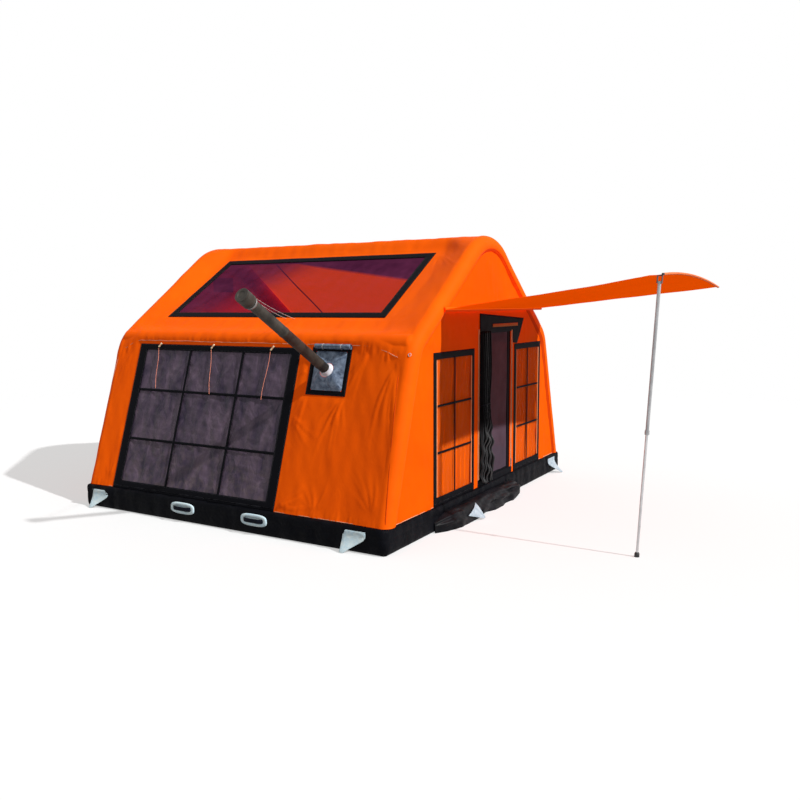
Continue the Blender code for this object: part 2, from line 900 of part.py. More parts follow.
def curtain_shape(y_low, y_high, z_low, z_high):
    """A hanging curtain with its main vertical folds, deeper at the hem than at the rail."""
    columns = curtain_folds * 4
    rows = (0.0, 0.4, 0.8, 1.0)
    index = {}
    corners = []
    faces = []
    for j, share in enumerate(rows):
        z = z_low + (z_high - z_low) * share
        depth = curtain_depth * (1.0 - 0.55 * share)
        for i in range(columns + 1):
            y = y_low + (y_high - y_low) * i / columns
            back = depth * (0.5 - 0.5 * math.cos(2 * math.pi * curtain_folds * i / columns))
            face = gable_face - skin_thickness - seat_gap - back
            for layer, x in ((0, face), (1, face - curtain_thickness)):
                index[(i, j, layer)] = len(corners)
                corners.append(Vector((x, y, z)))
    for j in range(len(rows) - 1):
        for i in range(columns):
            cell = ((i, j), (i + 1, j), (i + 1, j + 1), (i, j + 1))
            for layer in (0, 1):
                faces.append(tuple(index[(a, b, layer)] for a, b in cell))
    for i in range(columns):
        for j in (0, len(rows) - 1):
            faces.append((index[(i, j, 0)], index[(i + 1, j, 0)], index[(i + 1, j, 1)], index[(i, j, 1)]))
    for j in range(len(rows) - 1):
        for i in (0, columns):
            faces.append((index[(i, j, 0)], index[(i, j + 1, 0)], index[(i, j + 1, 1)], index[(i, j, 1)]))
    return corners, faces


def make_end_windows():
    place = plane((gable_face, 0.0, 0.0), (0.0, 1.0, 0.0), (0.0, 0.0, 1.0))
    film_spans, film_low, film_high = end_film_limits()
    for (low, high), (y_low, y_high), label in zip(end_window_spans, film_spans, ("left", "right")):
        us = bar_lines(low, high, end_border, end_border, end_column_shares, end_muntin_width)
        vs = bar_lines(end_window_low, end_window_high, end_border_top, end_border_top, end_row_shares,
                       end_muntin_width)
        frame = barred_frame(us, vs, place, seat_gap, seat_gap + trim_thickness)
        make_object(f"end_window_frame_{label}", frame, black_pvc(), smooth=False)
        outline = ((y_low + seat_gap, film_low + seat_gap), (y_high - seat_gap, film_low + seat_gap),
                   (y_high - seat_gap, film_high - seat_gap), (y_low + seat_gap, film_high - seat_gap))
        make_object(f"end_window_film_{label}", prism(outline, place, -film_thickness, 0.0), window_film(),
                    smooth=False)
        curtain = curtain_shape(y_low - curtain_lap, y_high + curtain_lap, film_low, film_high)
        make_object(f"end_window_curtain_{label}", curtain, orange_cloth())


# Stove jack and chimney

def pipe_line():
    """The chimney's axis: the point where it passes the jack panel, and its direction outwards."""
    place, rise, _foot, _run = wall_plane(-1)
    middle = place(jack_centre_x, up_wall(-1, jack_centre_z), jack_lift)
    return middle, Vector((0.0, -math.cos(pipe_rise), math.sin(pipe_rise)))


def square_ring(half, count):
    """Points round a square, as (u, v) in order, count to a side."""
    points = []
    for k in range(4 * count):
        side, step = divmod(k, count)
        share = -1 + 2 * step / count
        points.append(((share, -1), (1, share), (-share, 1), (-1, -share))[side])
    return [(u * half, v * half) for u, v in points]


def make_jack():
    place, _rise, _foot, _run = wall_plane(-1)
    low = up_wall(-1, jack_centre_z - jack_half)
    high = up_wall(-1, jack_centre_z + jack_half)
    back = jack_centre_x - jack_half
    front = jack_centre_x + jack_half
    us = bar_lines(back, front, jack_border_width, jack_border_width, (), 0.0)
    vs = bar_lines(low, high, jack_border_width, jack_border_width, (), 0.0)
    make_object("jack_border", barred_frame(us, vs, place, seat_gap, seat_gap + trim_thickness), black_pvc(),
                smooth=False)

    centre_v = (low + high) / 2
    inner_half = (front - back) / 2 - jack_border_width - seat_gap
    inner_half_v = (high - low) / 2 - jack_border_width - seat_gap
    start, run = pipe_line()
    square = square_ring(1.0, pipe_sides // 4)
    rings = []
    for lift in (-skin_thickness, 0.0):
        rings.append([place(jack_centre_x + u * inner_half, centre_v + v * inner_half_v, lift)
                      for u, v in square])
    across = Vector((1.0, 0.0, 0.0))
    up = Vector((0.0, math.sin(pipe_rise), math.cos(pipe_rise)))
    hole = pipe_radius + jack_hole_clearance
    for depth, size in ((0.0, hole + flange_spread), (flange_length, hole + trim_thickness),
                        (flange_length, hole), (-skin_thickness, hole)):
        ring = []
        for k in range(len(square)):
            angle = 2 * math.pi * k / len(square) - math.radians(135)
            spoke = across * math.cos(angle) + up * math.sin(angle)
            ring.append(start + run * depth + spoke * size)
        rings.append(ring)
    make_object("jack_panel", loft(rings, closed=True), silver_pvc())

    roll_v = high - roll_radius * 0.3
    roll_w = trim_thickness + seat_gap * 2 + roll_radius
    make_object("jack_cover_roll",
                straight_tube(place(back + jack_border_width, roll_v, roll_w), place(front, roll_v, roll_w),
                              roll_radius, 12), orange_cloth())


def make_chimney():
    start, run = pipe_line()
    low = start - run * pipe_inside
    high = start + run * pipe_outside
    make_object("chimney_pipe", hollow_tube(low, high, pipe_radius, pipe_radius - pipe_wall, pipe_sides),
                flue_steel())
    cap_bore = pipe_radius + cap_clearance
    cap_start = high - run * cap_lap
    cap_end = cap_start + run * cap_length
    cap_plug = cap_length - cap_lap - seat_gap
    make_object("chimney_cap", hollow_tube(cap_start, cap_end, cap_radius, cap_bore, pipe_sides, cap_plug),
                flue_steel(), origin=cap_start)
    collar_start = cap_start - run * (collar_gap + collar_length)
    rings = [section_ring(collar_start + run * along, run, size, pipe_sides, (1.0, 0.0, 0.0))
             for along, size in ((0.0, collar_radius), (collar_length, collar_radius),
                                 (collar_length, pipe_radius + seat_gap), (0.0, pipe_radius + seat_gap))]
    make_object("stay_collar", loft(rings, closed=True), pole_metal())


def curve_cord(name, points, radius, resolution, material):
    """A cord as a curve with a round bevel and closed ends."""
    data = bpy.data.curves.new(name, "CURVE")
    data.dimensions = "3D"
    data.bevel_depth = radius
    data.bevel_resolution = resolution
    data.use_fill_caps = True
    spline = data.splines.new("POLY")
    spline.points.add(len(points) - 1)
    for slot, point in zip(spline.points, points):
        slot.co = (*point, 1.0)
    data.materials.append(material)
    made = bpy.data.objects.new(name, data)
    bpy.context.scene.collection.objects.link(made)


def stay_points(index):
    """Route of one stay from the collar to its roof anchor, with a slight sag."""
    start, run = pipe_line()
    collar = start + run * (pipe_outside - cap_lap - collar_gap - collar_length / 2)
    side = Vector((1.0, 0.0, 0.0)) * (-1 if index == 0 else 1)
    up = Vector((0.0, math.sin(pipe_rise), math.cos(pipe_rise)))
    outward = (side * stay_lean_share + up).normalized()
    first = collar + outward * (collar_radius + stay_radius + seat_gap)
    place, _peak, _run = roof_plane(-1)
    last = place(stay_anchor_x_list[index], -stay_anchor_from_ridge, stay_radius + seat_gap * 2)
    points = []
    steps = 14
    for k in range(steps + 1):
        share = k / steps
        drop = stay_sag * 4 * share * (1 - share)
        points.append(first.lerp(last, share) - Vector((0.0, 0.0, drop)))
    return points


def make_stays():
    for index, name in enumerate(("chimney_stay_rear", "chimney_stay_front")):
        curve_cord(name, stay_points(index), stay_radius, 2, cord_weave())


# Door


def make_door_trim():
    place = plane((gable_face, 0.0, 0.0), (0.0, 1.0, 0.0), (0.0, 0.0, 1.0))
    low = door_low_side - placket_width
    high = door_high_side + placket_width
    foot = base_height + seat_gap
    under = door_top - placket_width
    outline = ((low, foot), (door_low_side, foot), (door_low_side, under), (door_high_side, under),
               (door_high_side, foot), (high, foot), (high, door_top), (low, door_top))
    make_object("door_zip_tape", prism(outline, place, seat_gap, seat_gap + trim_thickness), orange_cloth(),
                smooth=False)

    header = ((door_low_side, door_top + seat_gap), (header_low_right, door_top + seat_gap),
              (header_top_right, header_top - header_drop), (door_low_side, header_top))
    make_object("door_header", prism(header, place, seat_gap, seat_gap + trim_thickness), black_pvc(),
                smooth=False)


def make_door_leaf():
    """The outer door leaf, gathered to the hinge side and tied back: a hanging bundle of folds."""
    front = gable_face + seat_gap + trim_thickness + seat_gap
    rings = []
    sides = leaf_folds * 4
    for level_share, width_share, depth_share in leaf_level_shares:
        z = leaf_bottom + (door_top - leaf_bottom) * level_share
        ring = []
        width = leaf_width * width_share
        depth = leaf_depth * depth_share
        for k in range(sides):
            y = door_low_side + width * k / (sides - 1)
            wave = 0.62 + 0.38 * math.cos(2 * math.pi * leaf_folds * k / (sides - 1))
            ring.append(Vector((front + depth * wave, y, z)))
        ring.append(Vector((front, door_low_side + width, z)))
        ring.append(Vector((front, door_low_side, z)))
        rings.append(ring)
    make_object("door_leaf", loft(rings), black_pvc())


def mesh_door_box():
    """The mesh door's edges: y low, y high, z low, z high."""
    return (door_low_side - mesh_door_lap, door_high_side + mesh_door_lap,
            base_height + sill_clearance, door_top + mesh_door_lap)


def make_mesh_door():
    y_low, y_high, z_low, z_high = mesh_door_box()
    face = gable_face - skin_thickness - seat_gap
    hinge = (face, y_low, z_low)
    place = plane((face, 0.0, 0.0), (0.0, 1.0, 0.0), (0.0, 0.0, 1.0))
    us = bar_lines(y_low, y_high, mesh_door_border, mesh_door_border, (), 0.0)
    vs = bar_lines(z_low, z_high, mesh_door_border, mesh_door_border, (), 0.0)
    make_object("mesh_door_border", barred_frame(us, vs, place, -mesh_door_depth, 0.0), black_pvc(),
                origin=hinge, smooth=False)
    outline = ((us[1] + seat_gap, vs[1] + seat_gap), (us[2] - seat_gap, vs[1] + seat_gap),
               (us[2] - seat_gap, vs[2] - seat_gap), (us[1] + seat_gap, vs[2] - seat_gap))
    middle = -mesh_door_depth / 2
    net = prism(outline, place, middle - net_thickness / 2, middle + net_thickness / 2)
    make_object("mesh_door_net", net, finish("net", (0.16, 0.16, 0.17), 0.9), origin=hinge, smooth=False)


def make_zip_slider():
    """The zip's slider with its puller, on the closing side of the door."""
    low = base_height + sill_clearance + puller_length + slider_length
    y = door_high_side + placket_width / 2
    face = gable_face + seat_gap * 2 + trim_thickness
    place = plane((face, y, low), (0.0, 1.0, 0.0), (0.0, 0.0, 1.0))
    half = slider_width / 2
    outline = ((-half, 0.0), (-half * 0.5, -puller_length), (half * 0.5, -puller_length), (half, 0.0),
               (half, slider_length), (-half, slider_length))
    make_object("zip_slider", prism(outline, place, 0.0, slider_depth), pole_metal(), origin=(face, y, low),
                smooth=False)


# Awning and pole

def awning_frame():
    """Places awning points: u across from the near edge, v outwards from the root, w over the sheet."""
    root_x = arch_x + arch_tube_radius + awning_root_stand
    near_y = awning_middle - awning_width / 2
    out = Vector((math.cos(awning_slope), 0.0, math.sin(awning_slope)))
    up = Vector((-math.sin(awning_slope), 0.0, math.cos(awning_slope)))

    def place(u, v, w):
        reach_share = v / awning_reach
        across_share = u / awning_width
        bow = awning_bow * reach_share * 4 * across_share * (1 - across_share)
        droop = awning_far_droop * reach_share * across_share
        return Vector((root_x, near_y + u, awning_root_height)) + out * v + up * (w + bow - droop)

    return place


def make_awning():
    place = awning_frame()
    root_x = arch_x + arch_tube_radius + awning_root_stand
    near_y = awning_middle - awning_width / 2
    strip = plane((arch_x + arch_tube_radius, near_y, awning_root_height), (0.0, 1.0, 0.0), (0.0, 0.0, 1.0))
    outline = ((0.0, -strip_height / 2), (awning_width, -strip_height / 2),
               (awning_width, strip_height / 2), (0.0, strip_height / 2))
    bead = awning_thickness / 2
    bead_arc = [math.radians(angle) for angle in (90, 135, 180, 225)]
    make_object("awning_root_strip", prism(outline, strip, seat_gap, awning_root_stand - bead - seat_gap),
                orange_cloth(), smooth=False)

    rings = []
    for k in range(13):
        u = awning_width * k / 12
        section = [(bead * math.cos(angle), bead * math.sin(angle)) for angle in bead_arc]
        section += [(awning_reach * j / 6, -bead) for j in range(7)]
        section += [(awning_reach * j / 6, bead) for j in range(6, 0, -1)]
        rings.append([place(u, v, w) for v, w in section])
    make_object("awning_sheet", loft(rings), orange_cloth(), origin=(root_x, near_y, awning_root_height))
    rod = [place(awning_width * k / 12, awning_reach + hem_rod_radius + seat_gap, 0.0) for k in range(13)]
    rod.insert(0, rod[0] - Vector((0.0, rod_tip, 0.0)))
    rod.append(rod[-1] + Vector((0.0, rod_tip, 0.0)))
    out = Vector((math.cos(awning_slope), 0.0, math.sin(awning_slope)))
    rings = []
    for k, point in enumerate(rod):
        tangent = (rod[min(k + 1, len(rod) - 1)] - rod[max(k - 1, 0)]).normalized()
        rings.append(section_ring(point, tangent, hem_rod_radius, 10, out))
    make_object("awning_hem_rod", loft(rings), black_plastic(), origin=(root_x, near_y, awning_root_height))


def pole_axis():
    """The pole's pin, its direction downwards and the fold axis square to it."""
    place = awning_frame()
    corner = place(bracket_inset, awning_reach - bracket_inset, -awning_thickness / 2)
    pin = corner - Vector((0.0, 0.0, bracket_height))
    down = Vector((-math.sin(pole_lean), 0.0, -math.cos(pole_lean)))
    fold = Vector((math.cos(pole_lean), 0.0, -math.sin(pole_lean)))
    return pin, down, fold


def box_between(low, high, place):
    """A box in a local frame given by a place function."""
    outline = ((low[0], low[1]), (high[0], low[1]), (high[0], high[1]), (low[0], high[1]))
    return prism(outline, place, low[2], high[2])


def make_pole():
    pin, down, fold = pole_axis()
    across = Vector((0.0, 1.0, 0.0))
    up = -down
    side_view = plane(pin, fold, up)
    # Two cheeks stand either side of the pole's head, joined by a plate that follows the sheet's slope.
    top = bracket_height - bracket_stand
    rise = math.tan(awning_slope + pole_lean)
    cheek_in = head_half + seat_gap * 3
    cheek_out = cheek_in + bracket_wall
    reach = pin_radius * 2.2
    outline = ((-cheek_out, -reach), (-cheek_in, -reach), (-cheek_in, top - bracket_wall - cheek_in * rise),
               (cheek_in, top - bracket_wall - cheek_in * rise), (cheek_in, -reach), (cheek_out, -reach),
               (cheek_out, top + cheek_out * rise), (-cheek_out, top - cheek_out * rise))
    bracket = make_object("awning_bracket", prism(outline, side_view, -bracket_half, bracket_half),
                          black_plastic(), origin=pin)
    overlap = bracket_wall / 2
    pin_reach = fold * (cheek_in + overlap)
    rod = cutter("bracket_pin", straight_tube(pin - pin_reach, pin + pin_reach, pin_radius, 16))
    join_to(bracket, rod)

    head_low = pin + down * head_drop
    eye = []
    eye_bore = pin_radius + pin_clearance
    for offset, size in ((-head_half, eye_radius), (head_half, eye_radius), (head_half, eye_bore),
                         (-head_half, eye_bore)):
        eye.append(section_ring(pin + fold * offset, fold, size, 16, up))
    head = cutter("pole_head_eye", loft(eye, closed=True))
    low = head_low + down * pole_upper_length
    tube = hollow_tube(low, head_low, pole_outer_radius, pole_bore_radius, 16, plug_depth)
    upper = make_object("pole_upper_tube", tube, pole_metal(), origin=pin)
    bore = cutter("pole_head_bore", straight_tube(pin - fold * head_half * 2, pin + fold * head_half * 2,
                                                  eye_bore, 16))
    cut_by(upper, bore)
    join_to(upper, head)
    lock_bore = (pole_outer_radius + pole_bore_radius) / 2
    lock_reach = down * lock_length / 2
    lock = hollow_tube(low + lock_reach, low - lock_reach, lock_radius, lock_bore, 16)
    join_to(upper, cutter("pole_lock", lock))

    foot_share = pin.z / -down.z
    ground = pin + down * foot_share
    foot_top = ground - down * foot_height
    tube_top = low - down * pole_insert
    tube = straight_tube(foot_top - down * seat_gap, tube_top, pole_inner_radius, 16)
    make_object("pole_lower_tube", tube, pole_metal(), origin=tube_top)
    rings = [section_ring(foot_top, down, foot_radius * 0.7, 16, across),
             section_ring(foot_top + down * foot_height * 0.4, down, foot_radius, 16, across),
             section_ring(ground, down, foot_radius, 16, across)]
    rings[2] = [corner - down * (corner.z / down.z) for corner in rings[2]]
    make_object("pole_foot", loft(rings), black_plastic(), origin=tube_top)


# Base fittings


def make_handle(name, x):
    """A moulded grab handle: a patch with a strap that stands off it, in one piece."""
    face = -half_width - seat_gap
    place = plane((x, face, handle_centre_z), (1.0, 0.0, 0.0), (0.0, 0.0, 1.0))
    half = handle_length / 2
    rise = handle_height / 2
    outline = ((-half, -rise * 0.5), (-half * 0.86, -rise), (half * 0.86, -rise), (half, -rise * 0.5),
               (half, rise * 0.5), (half * 0.75, rise * 0.85), (0.0, rise), (-half * 0.75, rise * 0.85),
               (-half, rise * 0.5))
    handle = make_object(name, prism(outline, place, 0.0, trim_thickness), silver_pvc(), smooth=False)
    side_view = plane((x, face, handle_centre_z), (1.0, 0.0, 0.0), (0.0, -1.0, 0.0))
    low = trim_thickness / 2
    inner = grip_lift - grip_thickness
    foot = half * 0.62
    strap = ((-foot, low), (-foot * 0.72, low), (-foot * 0.50, inner), (foot * 0.50, inner),
             (foot * 0.72, low), (foot, low), (foot * 0.66, grip_lift), (-foot * 0.66, grip_lift))
    join_to(handle, cutter(f"{name}_strap", prism(strap, side_view, -grip_height / 2, grip_height / 2)))


def make_handles():
    for share, label in zip(handle_places_share, ("rear", "front")):
        make_handle(f"grab_handle_{label}", share * base_length)


def make_tab(name, place, rows):
    """An anchor tab: glued along its top and tapering to a tip on the ground at its first edge."""
    rings = []
    start = -tab_width / 2
    for height, width, out in rows:
        rings.append([place(start, height, out + seat_gap), place(start + width, height, out + seat_gap),
                      place(start + width, height, out + seat_gap + trim_thickness),
                      place(start, height, out + seat_gap + trim_thickness)])
    make_object(name, loft(rings), silver_pvc(), smooth=False)


def make_anchor_tabs():
    """The four tabs the photograph shows: two on the left side and two at the door end."""
    rows = ((tab_top, tab_width, 0.0), (tab_top * 0.78, tab_width, 0.0),
            (tab_top * 0.42, tab_width * 0.62, tab_tip_reach * 0.35),
            (trim_thickness, tab_tip_width, tab_tip_reach))
    for share, label in ((-tab_long_share, "left_rear"), (tab_long_front_share, "left_front")):
        make_tab(f"anchor_tab_{label}",
                 plane((share * base_length, -half_width, 0.0), (1.0, 0.0, 0.0), (0.0, 0.0, 1.0)), rows)
    door_face = plane((half_length, tab_end_share * base_width, 0.0), (0.0, 1.0, 0.0), (0.0, 0.0, 1.0))
    make_tab("anchor_tab_front_right", door_face, rows)
    on_skirt = [(up * skirt_height, tab_width * share, out * skirt_reach)
                for (out, up), share in zip(skirt_section_shares[4:1:-1], (0.85, 0.6, 0.3))]
    make_tab("anchor_tab_front_left", plane((half_length + seat_gap + skirt_tab_stand, skirt_tab_y, 0.0),
                                            (0.0, 1.0, 0.0), (0.0, 0.0, 1.0)), on_skirt)


def make_valve():
    """The inflation valve low on the rear of the base ring, with a cap that turns."""
    face = -half_length - seat_gap
    place = plane((face, valve_place_y, valve_height), (0.0, -1.0, 0.0), (0.0, 0.0, 1.0))
    ring = [(valve_radius * math.cos(2 * math.pi * k / 24), valve_radius * math.sin(2 * math.pi * k / 24))
            for k in range(24)]
    make_object("valve_body", prism(ring, place, 0.0, valve_depth), black_plastic())
    lobes = []
    for k in range(48):
        angle = 2 * math.pi * k / 48
        size = valve_radius * cap_share * (1.0 + 0.07 * math.cos(6 * angle))
        lobes.append((size * math.cos(angle), size * math.sin(angle)))
    low = valve_depth + seat_gap
    step = low + cap_grip_depth * 0.4
    bar = valve_radius * 0.14
    cap = make_object("valve_cap", prism(lobes, place, low, low + cap_grip_depth), black_plastic(),
                      origin=(face, valve_place_y, valve_height))
    for side, label in ((-1, "low"), (1, "high")):
        near, far = sorted((side * bar, side * valve_radius))
        sides = ((-valve_radius, near), (valve_radius, near), (valve_radius, far), (-valve_radius, far))
        groove = prism(sides, place, step, low + cap_grip_depth + cut_overrun)
        cut_by(cap, cutter(f"cap_grip_{label}", groove))


def toggle_point(x):
    """Centre of a toggle, just outside the window's top border."""
    place, _rise, _foot, _run = wall_plane(-1)
    v = up_wall(-1, big_window_high) - toggle_drop
    return place(x, v, seat_gap * 2 + trim_thickness + toggle_radius)


def make_toggles():
    _place, _rise, _foot, run = wall_plane(-1)
    up = Vector((0.0, run.x, run.y))
    lean = Vector((math.sin(toggle_tilt), 0.0, 0.0)) + up * math.cos(toggle_tilt)
    for index, x in enumerate(toggle_places_x_list):
        middle = toggle_point(x)
        make_object(f"window_toggle_{index + 1}",
                    straight_tube(middle - lean * toggle_length / 2, middle + lean * toggle_length / 2,
                                  toggle_radius, 12), cream_plastic())


def toggle_cord_points(index):
    """A cord's route: out from under its toggle, then hanging close to the film."""
    x = toggle_places_x_list[index]
    place, _rise, _foot, _run = wall_plane(-1)
    v_top = up_wall(-1, big_window_high) - toggle_drop - toggle_length / 2
    length = toggle_cord_length_list[index]
    drift = toggle_cord_drift_list[index]
    lift = seat_gap * 2 + trim_thickness + toggle_cord_radius
    points = []
    steps = 24
    for k in range(steps + 1):
        share = k / steps
        wave = cord_wave * math.sin(math.pi * 2 * share)
        points.append(place(x - toggle_cord_start + drift * share + wave, v_top - length * share, lift))
    return points


def make_toggle_cords():
    for index in range(len(toggle_places_x_list)):
        curve_cord(f"toggle_cord_{index + 1}", toggle_cord_points(index), toggle_cord_radius, 2,
                   cord_weave())


clear_scene()
make_floor()
make_base_ring()
make_door_skirt()
make_arches()
ridge_centre, eave_centres = frame_lines()
make_long_tube("ridge_tube", ridge_centre, ridge_tube_radius)
make_long_tube("eave_tube_left", eave_centres[-1], eave_tube_radius)
make_long_tube("eave_tube_right", eave_centres[1], eave_tube_radius)
make_left_wall()
make_right_wall()
make_roofs()
make_front_gable()
make_rear_gable()
make_big_window()
make_skylight()
make_vent()
make_end_windows()
make_jack()
make_chimney()
make_stays()
make_door_trim()
make_door_leaf()
make_mesh_door()
make_zip_slider()
make_awning()
make_pole()
make_handles()
make_anchor_tabs()
make_valve()
make_toggles()
make_toggle_cords()
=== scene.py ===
import math

import bmesh
import bpy
import numpy as np
from mathutils import Matrix, Vector


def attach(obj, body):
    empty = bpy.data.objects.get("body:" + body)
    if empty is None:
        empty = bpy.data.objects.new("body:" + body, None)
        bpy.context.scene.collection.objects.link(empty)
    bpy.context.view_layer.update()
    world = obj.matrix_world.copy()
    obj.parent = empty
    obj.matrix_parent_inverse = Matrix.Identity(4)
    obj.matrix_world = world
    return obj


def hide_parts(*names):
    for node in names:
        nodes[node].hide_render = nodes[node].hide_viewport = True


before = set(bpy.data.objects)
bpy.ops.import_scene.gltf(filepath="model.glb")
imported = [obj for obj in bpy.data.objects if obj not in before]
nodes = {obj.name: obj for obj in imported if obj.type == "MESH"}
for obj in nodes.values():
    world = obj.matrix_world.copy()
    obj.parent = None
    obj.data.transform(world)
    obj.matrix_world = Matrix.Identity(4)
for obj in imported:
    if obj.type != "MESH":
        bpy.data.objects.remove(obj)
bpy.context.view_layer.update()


# Where the photographer stands, in front of the big window and a little to the door's side,
# at head height and looking slightly down. A camera has no mesh and rides on nothing.
camera_place = Vector((4.6472, -6.7833, 1.843))
camera_turn, camera_dip, camera_roll = 0.5303, 0.1172, -0.0052
across = Vector((math.cos(camera_turn), math.sin(camera_turn), 0.0))
backward = Vector((math.sin(camera_turn) * math.cos(camera_dip),
                   -math.cos(camera_turn) * math.cos(camera_dip), math.sin(camera_dip)))
upward = backward.cross(across)
rolled_across = across * math.cos(camera_roll) + upward * math.sin(camera_roll)
rolled_upward = upward * math.cos(camera_roll) - across * math.sin(camera_roll)
camera_data = bpy.data.cameras.new("camera")
camera_data.sensor_width = 36.0
camera_data.lens = 36.53
camera_data.clip_end = 200.0
camera = bpy.data.objects.new("camera", camera_data)
camera.matrix_world = Matrix((
    (rolled_across.x, rolled_upward.x, backward.x, camera_place.x),
    (rolled_across.y, rolled_upward.y, backward.y, camera_place.y),
    (rolled_across.z, rolled_upward.z, backward.z, camera_place.z),
    (0.0, 0.0, 0.0, 1.0)))
bpy.context.scene.collection.objects.link(camera)
bpy.context.scene.camera = camera
bpy.context.scene.view_settings.view_transform = "Standard"


# Material helpers: each adds nodes to a material's tree, and most return the socket to use next.
def feed(tree, target, value):
    """Sets a node's input, or links it when value is another node's output."""
    if isinstance(value, bpy.types.NodeSocket):
        tree.links.new(value, target)
    elif target.type == "RGBA":
        target.default_value = (*value, 1.0)
    else:
        target.default_value = value


def feed_all(tree, node, **values):
    for key, value in values.items():
        feed(tree, node.inputs[key.replace("_", " ")], value)


def new_node(tree, kind, *ordered, **named):
    """Adds a shader node. Ordered values go to its first inputs, and named ones to the input or
    the setting of that name; each is a plain value or another node's output."""
    made = tree.nodes.new("ShaderNode" + kind)
    for key, value in named.items():
        label = key.replace("_", " ")
        if label in made.inputs:
            feed(tree, made.inputs[label], value)
        else:
            setattr(made, key, value)
    for target, value in zip(made.inputs, ordered):
        feed(tree, target, value)
    return made


def shader_material(name, roughness=0.5, metallic=0.0, gloss=0.5):
    """A material with a Principled shader; returns the material, its node tree and the shader."""
    made = bpy.data.materials.new(name)
    made.use_nodes = True
    shader = made.node_tree.nodes["Principled BSDF"]
    feed_all(made.node_tree, shader, Roughness=roughness, Metallic=metallic, Specular_IOR_Level=gloss)
    return made, made.node_tree, shader


def object_place(tree):
    return new_node(tree, "TexCoord").outputs["Object"]


def noise(tree, place, **settings):
    return new_node(tree, "TexNoise", Vector=place, **settings).outputs["Fac"]


def stripes(tree, place, direction, pitch):
    return new_node(tree, "TexWave", bands_direction=direction, Vector=place, Scale=pitch).outputs["Fac"]


def reckon(tree, operation, *values, **settings):
    return new_node(tree, "Math", *values, operation=operation, **settings).outputs[0]


def spread(tree, value, low, high, from_low=0.0, from_high=1.0, **settings):
    """The value with its range from from_low to from_high moved to that from low to high."""
    return new_node(tree, "MapRange", value, from_low, from_high, low, high, **settings).outputs[0]


def bump(tree, height, strength, distance, **under):
    return new_node(tree, "Bump", Height=height, Strength=strength, Distance=distance, **under).outputs["Normal"]


def ramp(tree, factor, *stops):
    """A colour ramp fed by factor, with (position, colour) stops."""
    made = new_node(tree, "ValToRGB", factor)
    for element, (position, colour) in zip(made.color_ramp.elements, stops):
        element.position = position
        element.color = (*colour, 1.0)
    return made.outputs["Color"]


def group_with(name, outputs, **inputs):
    """A shader node group: its tree, the sockets of its numbers and vectors, and its end node."""
    tree = bpy.data.node_groups.new(name, "ShaderNodeTree")
    for label, value in inputs.items():
        kind = "NodeSocketFloat" if isinstance(value, float) else "NodeSocketVector"
        tree.interface.new_socket(label, in_out="INPUT", socket_type=kind).default_value = value
    for label in outputs:
        tree.interface.new_socket(label, in_out="OUTPUT", socket_type="NodeSocketFloat")
    return tree, tree.nodes.new("NodeGroupInput").outputs, tree.nodes.new("NodeGroupOutput")


def use_group(tree, group, **values):
    made = tree.nodes.new("ShaderNodeGroup")
    made.node_tree = group
    feed_all(tree, made, **values)
    return made.outputs


# The braided cords: two thin stays that hold the chimney up from the eave, and three pulls
# that hang from the big window's toggles. Each is one smooth route of the cord's real length.
def braid_group():
    """Diagonal strands wound round a thin cord, as a height and a shade."""
    tree, given, end = group_with("braid", ("Height", "Shade"), Pitch=900.0)
    strands, rings = (stripes(tree, object_place(tree), direction, given["Pitch"]) for direction in ("DIAGONAL", "Z"))
    feed_all(tree, end, Height=reckon(tree, "MAXIMUM", strands, rings), Shade=strands)
    return tree


braid = braid_group()


def braided(name, light, dark):
    made, tree, shader = shader_material(name, 0.75)
    strands = use_group(tree, braid)
    feed_all(tree, shader, Base_Color=ramp(tree, strands["Shade"], (0.2, dark), (0.8, light)),
             Normal=bump(tree, strands["Height"], 0.5, 0.0004))
    return made


white_braid = braided("stay_braid", (0.78, 0.74, 0.72), (0.42, 0.38, 0.36))
pink_braid = braided("pull_braid", (0.95, 0.34, 0.22), (0.66, 0.18, 0.11))


def cord_curve(name, points, radius, material):
    """A round cord along points, as a curve with closed ends."""
    data = bpy.data.curves.new(name, "CURVE")
    data.dimensions = "3D"
    data.bevel_depth = radius
    data.bevel_resolution = 3
    data.use_fill_caps = True
    spline = data.splines.new("POLY")
    spline.points.add(len(points) - 1)
    for slot, point in zip(spline.points, points):
        slot.co = (*point, 1.0)
    data.materials.append(material)
    made = bpy.data.objects.new(name, data)
    bpy.context.scene.collection.objects.link(made)
    return made


def finish_piece(piece, body="tent", slot=None, *replaced):
    """Says which body a piece rides on and the CAD nodes it stands for; its material slot is not used."""
    if replaced:
        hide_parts(*replaced)
    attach(piece, body)
    return piece


# The left wall, which the cords are placed from: its foot and eave, its lean, and the directions
# up it and straight out of it. The skin lies wall_set_back inside that plane.
east, north = Vector((1.0, 0.0, 0.0)), Vector((0.0, 1.0, 0.0))
ring_top, foot_out, eave_out, eave_tall = 0.20, 1.835, 1.405, 1.557
wall_lean = math.atan2(foot_out - eave_out, eave_tall - ring_top)
wall_set_back = 0.012
wall_out = Vector((0.0, -math.cos(wall_lean), math.sin(wall_lean)))
wall_up = Vector((0.0, math.sin(wall_lean), math.cos(wall_lean)))


def left_wall_start():
    """The skin's foot line on the left wall, at the base ring's top."""
    line = Vector((0.0, -foot_out, ring_top)) - wall_out * wall_set_back
    return line + wall_up * ((ring_top - line.z) / wall_up.z)


wall_foot = left_wall_start()


def on_wall(x, z, lift=0.0):
    """A point on the left wall's skin at height z, lifted off it."""
    return wall_foot + east * x + wall_up * ((z - ring_top) / wall_up.z) + wall_out * lift


